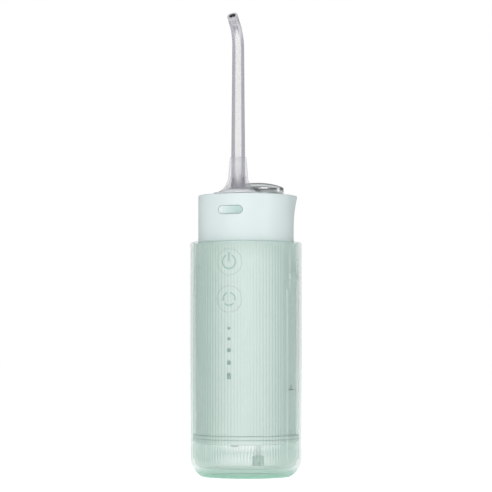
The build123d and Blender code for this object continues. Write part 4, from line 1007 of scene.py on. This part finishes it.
button_rings = [
    (release_wall, 144.0), (release_wall, release_foot), (0.0, release_foot),
    (0.0, release_wall_top - shoulder),
]
for step in range(1, 5):
    turn = math.radians(18 * step)
    inset = shoulder * (1 - math.cos(turn))
    button_rings.append((inset, release_wall_top - shoulder * (1 - math.sin(turn))))
dome_height = release_top - release_wall_top
for share in (0.95, 0.9, 0.84, 0.76, 0.66, 0.54, 0.4, 0.26, 0.12, 0.01):
    button_rings.append((-share, release_wall_top + dome_height * (1 - share ** 2.2) ** 0.9))
metal = outward(make_piece("release_dome", *oval_rings(button_rings), metal_finish()))
set_piece(metal, "release", "bright_metal", "release_button")

# ---- release springs ---------------------------------------------------------------------------
# Two coils wound from steel wire stand on the guide plate under the dome and lift it.

coil_low, coil_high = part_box("release_springs")
coil_reach = (coil_high.y - coil_low.y) / 2
coil_wire = 0.3 * MM
coil_turns = 6.0
coil_x = coil_high.x - coil_reach


def coil_tree(name, finish):
    """Geometry Nodes tree that winds one coil and repeats it along a line."""
    tree = bpy.data.node_groups.new(name, "GeometryNodeTree")
    face = tree.interface
    face.new_socket("Geometry", in_out="INPUT", socket_type="NodeSocketGeometry")
    for label, value in (
        ("Turns", coil_turns), ("Coil radius", coil_reach - coil_wire), ("Wire radius", coil_wire),
        ("Length", coil_high.z - coil_low.z - 2 * coil_wire),
    ):
        face.new_socket(label, in_out="INPUT", socket_type="NodeSocketFloat").default_value = value
    for label, value in (
        ("First", (-coil_x, (coil_low.y + coil_high.y) / 2, coil_low.z + coil_wire)),
        ("Step", (2 * coil_x, 0.0, 0.0)),
    ):
        face.new_socket(label, in_out="INPUT", socket_type="NodeSocketVector").default_value = value
    face.new_socket("Geometry", in_out="OUTPUT", socket_type="NodeSocketGeometry")
    inlet, outlet = tree.nodes.new("NodeGroupInput"), tree.nodes.new("NodeGroupOutput")
    spiral = tree.nodes.new("GeometryNodeCurveSpiral")
    spiral.inputs["Resolution"].default_value = 28
    ring = tree.nodes.new("GeometryNodeCurvePrimitiveCircle")
    ring.inputs["Resolution"].default_value = 10
    wind = tree.nodes.new("GeometryNodeCurveToMesh")
    wind.inputs["Fill Caps"].default_value = True
    line = tree.nodes.new("GeometryNodeMeshLine")
    line.mode = "OFFSET"
    line.inputs["Count"].default_value = 2
    spread = tree.nodes.new("GeometryNodeInstanceOnPoints")
    real = tree.nodes.new("GeometryNodeRealizeInstances")
    coat = tree.nodes.new("GeometryNodeSetMaterial")
    coat.inputs["Material"].default_value = finish
    link = tree.links.new
    link(inlet.outputs["Turns"], spiral.inputs["Rotations"])
    link(inlet.outputs["Coil radius"], spiral.inputs["Start Radius"])
    link(inlet.outputs["Coil radius"], spiral.inputs["End Radius"])
    link(inlet.outputs["Length"], spiral.inputs["Height"])
    link(inlet.outputs["Wire radius"], ring.inputs["Radius"])
    link(inlet.outputs["First"], line.inputs["Start Location"])
    link(inlet.outputs["Step"], line.inputs["Offset"])
    link(spiral.outputs[0], wind.inputs["Curve"])
    link(ring.outputs[0], wind.inputs["Profile Curve"])
    link(line.outputs[0], spread.inputs["Points"])
    link(wind.outputs[0], spread.inputs["Instance"])
    link(spread.outputs[0], real.inputs[0])
    link(real.outputs[0], coat.inputs["Geometry"])
    link(coat.outputs[0], outlet.inputs[0])
    return tree


def steel_finish(name, colour, rough):
    make = Finish(name)
    spot, _ = make.place()
    fine = make.grain(spot, 0.4, 4.0)
    shade = make.tint(fine, tuple(c * 0.85 for c in colour), colour)
    return make.surface(make.node(
        "BsdfPrincipled", {}, Base_Color=shade, Metallic=1.0, Roughness=rough + fine * 0.15,
        Normal=make.bump(fine, 0.1, 0.01),
    ))


steel = steel_finish("bare_steel", (0.60, 0.60, 0.61), 0.25)
coils = make_piece("release_coils", [(0, 0, 0), (1, 0, 0), (0, 1, 0)], [(0, 1, 2)], steel)
outward(settle(coils, coil_tree("release_coil_pair", steel)))
set_piece(coils, "handle", "steel", "release_springs")
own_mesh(coils)

# ---- pieces inside the handle ----------------------------------------------------------------
# Battery, motor, gears, pump, board and their fasteners keep their shapes and get
# plain working finishes: natural plastic, bare steel, solder mask, wrap and rubber.

inner_looks = {
    steel: ("cap_screws", "deck_screws", "motor_screws", "board_screws", "seat_screws", "motor_can",
            "motor_shaft", "gear_axle", "retaining_clip", "release_collars", "usb_socket"),
    steel_finish("dark_iron", (0.28, 0.28, 0.30), 0.4): ("motor_magnets", "motor_rotor"),
    white_plastic: ("chassis_frame", "gear_deck", "pump_body", "pump_head", "intake_sleeve",
                    "nozzle_socket", "swivel_retainer", "release_guide", "pump_piston"),
    moulded_finish("gear_nylon", (0.84, 0.83, 0.78), 0.4, 0.4): (
        "pinion", "drive_gear", "crank_eccentric", "piston_yoke"),
    moulded_finish("battery_wrap", (0.10, 0.33, 0.30), 0.6, 0.3): ("battery_cell",),
    moulded_finish("board_mask", (0.03, 0.22, 0.11), 0.3, 0.3): ("main_board", "usb_board"),
    moulded_finish("chip_black", (0.04, 0.04, 0.045), 0.2, 0.5): (
        "board_parts", "tact_switches", "charge_flex"),
    moulded_finish("light_lens", (0.75, 0.82, 0.78), 0.3, 0.25): ("indicator_leds",),
    moulded_finish("soft_rubber", (0.18, 0.22, 0.21), 0.25, 0.6): (
        "battery_pad", "piston_ring", "check_valves"),
    moulded_finish("silicone_hose", (0.72, 0.73, 0.71), 0.3, 0.5): ("inlet_hose", "outlet_hose"),
}
for finish, nodes in inner_looks.items():
    for node in nodes:
        dress(node, finish)

# ---- floor, light and camera ---------------------------------------------------------------
# A wide pale floor under an even white studio.  A broad light stands high in front, a
# weak one low at the right, and one hangs above.

make = Finish("pale_floor")
spot, _ = make.place()
floor_tone = make.tint(make.grain(spot, 220.0), (0.38, 0.38, 0.38), (0.40, 0.40, 0.40))
floor_finish = make.surface(make.node(
    "BsdfPrincipled", {}, Base_Color=floor_tone, Roughness=0.9, Specular_IOR_Level=0.0,
    Emission_Color=(1.0, 1.0, 1.0), Emission_Strength=0.92,
))
floor_half = 4000.0
floor = make_piece(
    "floor", [(x, y, 0) for x, y in bar(-floor_half, floor_half, -floor_half, floor_half)],
    [(0, 1, 2, 3)], floor_finish, smooth=False,
)

world = bpy.data.worlds.new("studio")
bpy.context.scene.world = world
world.use_nodes = True
sky = world.node_tree
sky.nodes.clear()
ray = sky.nodes.new("ShaderNodeLightPath")
heading = sky.nodes.new("ShaderNodeTexCoord")
front = sky.nodes.new("ShaderNodeVectorMath")
front.operation = "DOT_PRODUCT"
front.inputs[1].default_value = (-0.15, -0.99, 0.0)
fade = sky.nodes.new("ShaderNodeMapRange")
for label, value in (("From Min", 0.40), ("From Max", 0.90), ("To Min", 0.25), ("To Max", 0.03)):
    fade.inputs[label].default_value = value
room = sky.nodes.new("ShaderNodeBackground")
room.inputs["Color"].default_value = (0.84, 0.98, 1.0, 1.0)
seen = sky.nodes.new("ShaderNodeBackground")
seen.inputs["Strength"].default_value = 1.0
seen.inputs["Color"].default_value = (1, 1, 1, 1)
pick = sky.nodes.new("ShaderNodeMixShader")
sky_out = sky.nodes.new("ShaderNodeOutputWorld")
sky.links.new(heading.outputs["Generated"], front.inputs[0])
sky.links.new(front.outputs["Value"], fade.inputs["Value"])
sky.links.new(fade.outputs["Result"], room.inputs["Strength"])
sky.links.new(ray.outputs["Is Camera Ray"], pick.inputs[0])
sky.links.new(room.outputs[0], pick.inputs[1])
sky.links.new(seen.outputs[0], pick.inputs[2])
sky.links.new(pick.outputs[0], sky_out.inputs[0])

view_azimuth = math.radians(19.5)
aim = Vector((0.0, 0.0, 0.1155))


def studio_light(name, azimuth, distance, height, size, power, diffuse=1.0):
    lamp = bpy.data.lights.new(name, "AREA")
    lamp.diffuse_factor = diffuse
    lamp.shape = "RECTANGLE"
    lamp.size, lamp.size_y = size
    lamp.energy = power
    holder = bpy.data.objects.new(name, lamp)
    turn = view_azimuth + math.radians(azimuth)
    holder.location = (distance * math.sin(turn), -distance * math.cos(turn), height)
    holder.rotation_euler = (aim - holder.location).to_track_quat("-Z", "Y").to_euler()
    bpy.context.scene.collection.objects.link(holder)


studio_light("front_soft", -14.0, 1.2, 0.86, (0.6, 0.6), 10.4)
studio_light("right_soft", 50.0, 1.1, 0.25, (0.35, 0.8), 1.3, 0.05)
studio_light("above_soft", 170.0, 0.5, 1.4, (1.2, 1.2), 4.0)

camera_data = bpy.data.cameras.new("camera")
camera_data.lens = 161.0
camera_data.sensor_width = 36.0
camera = bpy.data.objects.new("camera", camera_data)
distance = 1.107
camera_height = 0.068
camera.location = (
    distance * math.sin(view_azimuth), -distance * math.cos(view_azimuth), camera_height)
camera.rotation_euler = (aim - camera.location).to_track_quat("-Z", "Y").to_euler()
bpy.context.scene.collection.objects.link(camera)
bpy.context.scene.camera = camera
bpy.context.scene.view_settings.view_transform = "Standard"
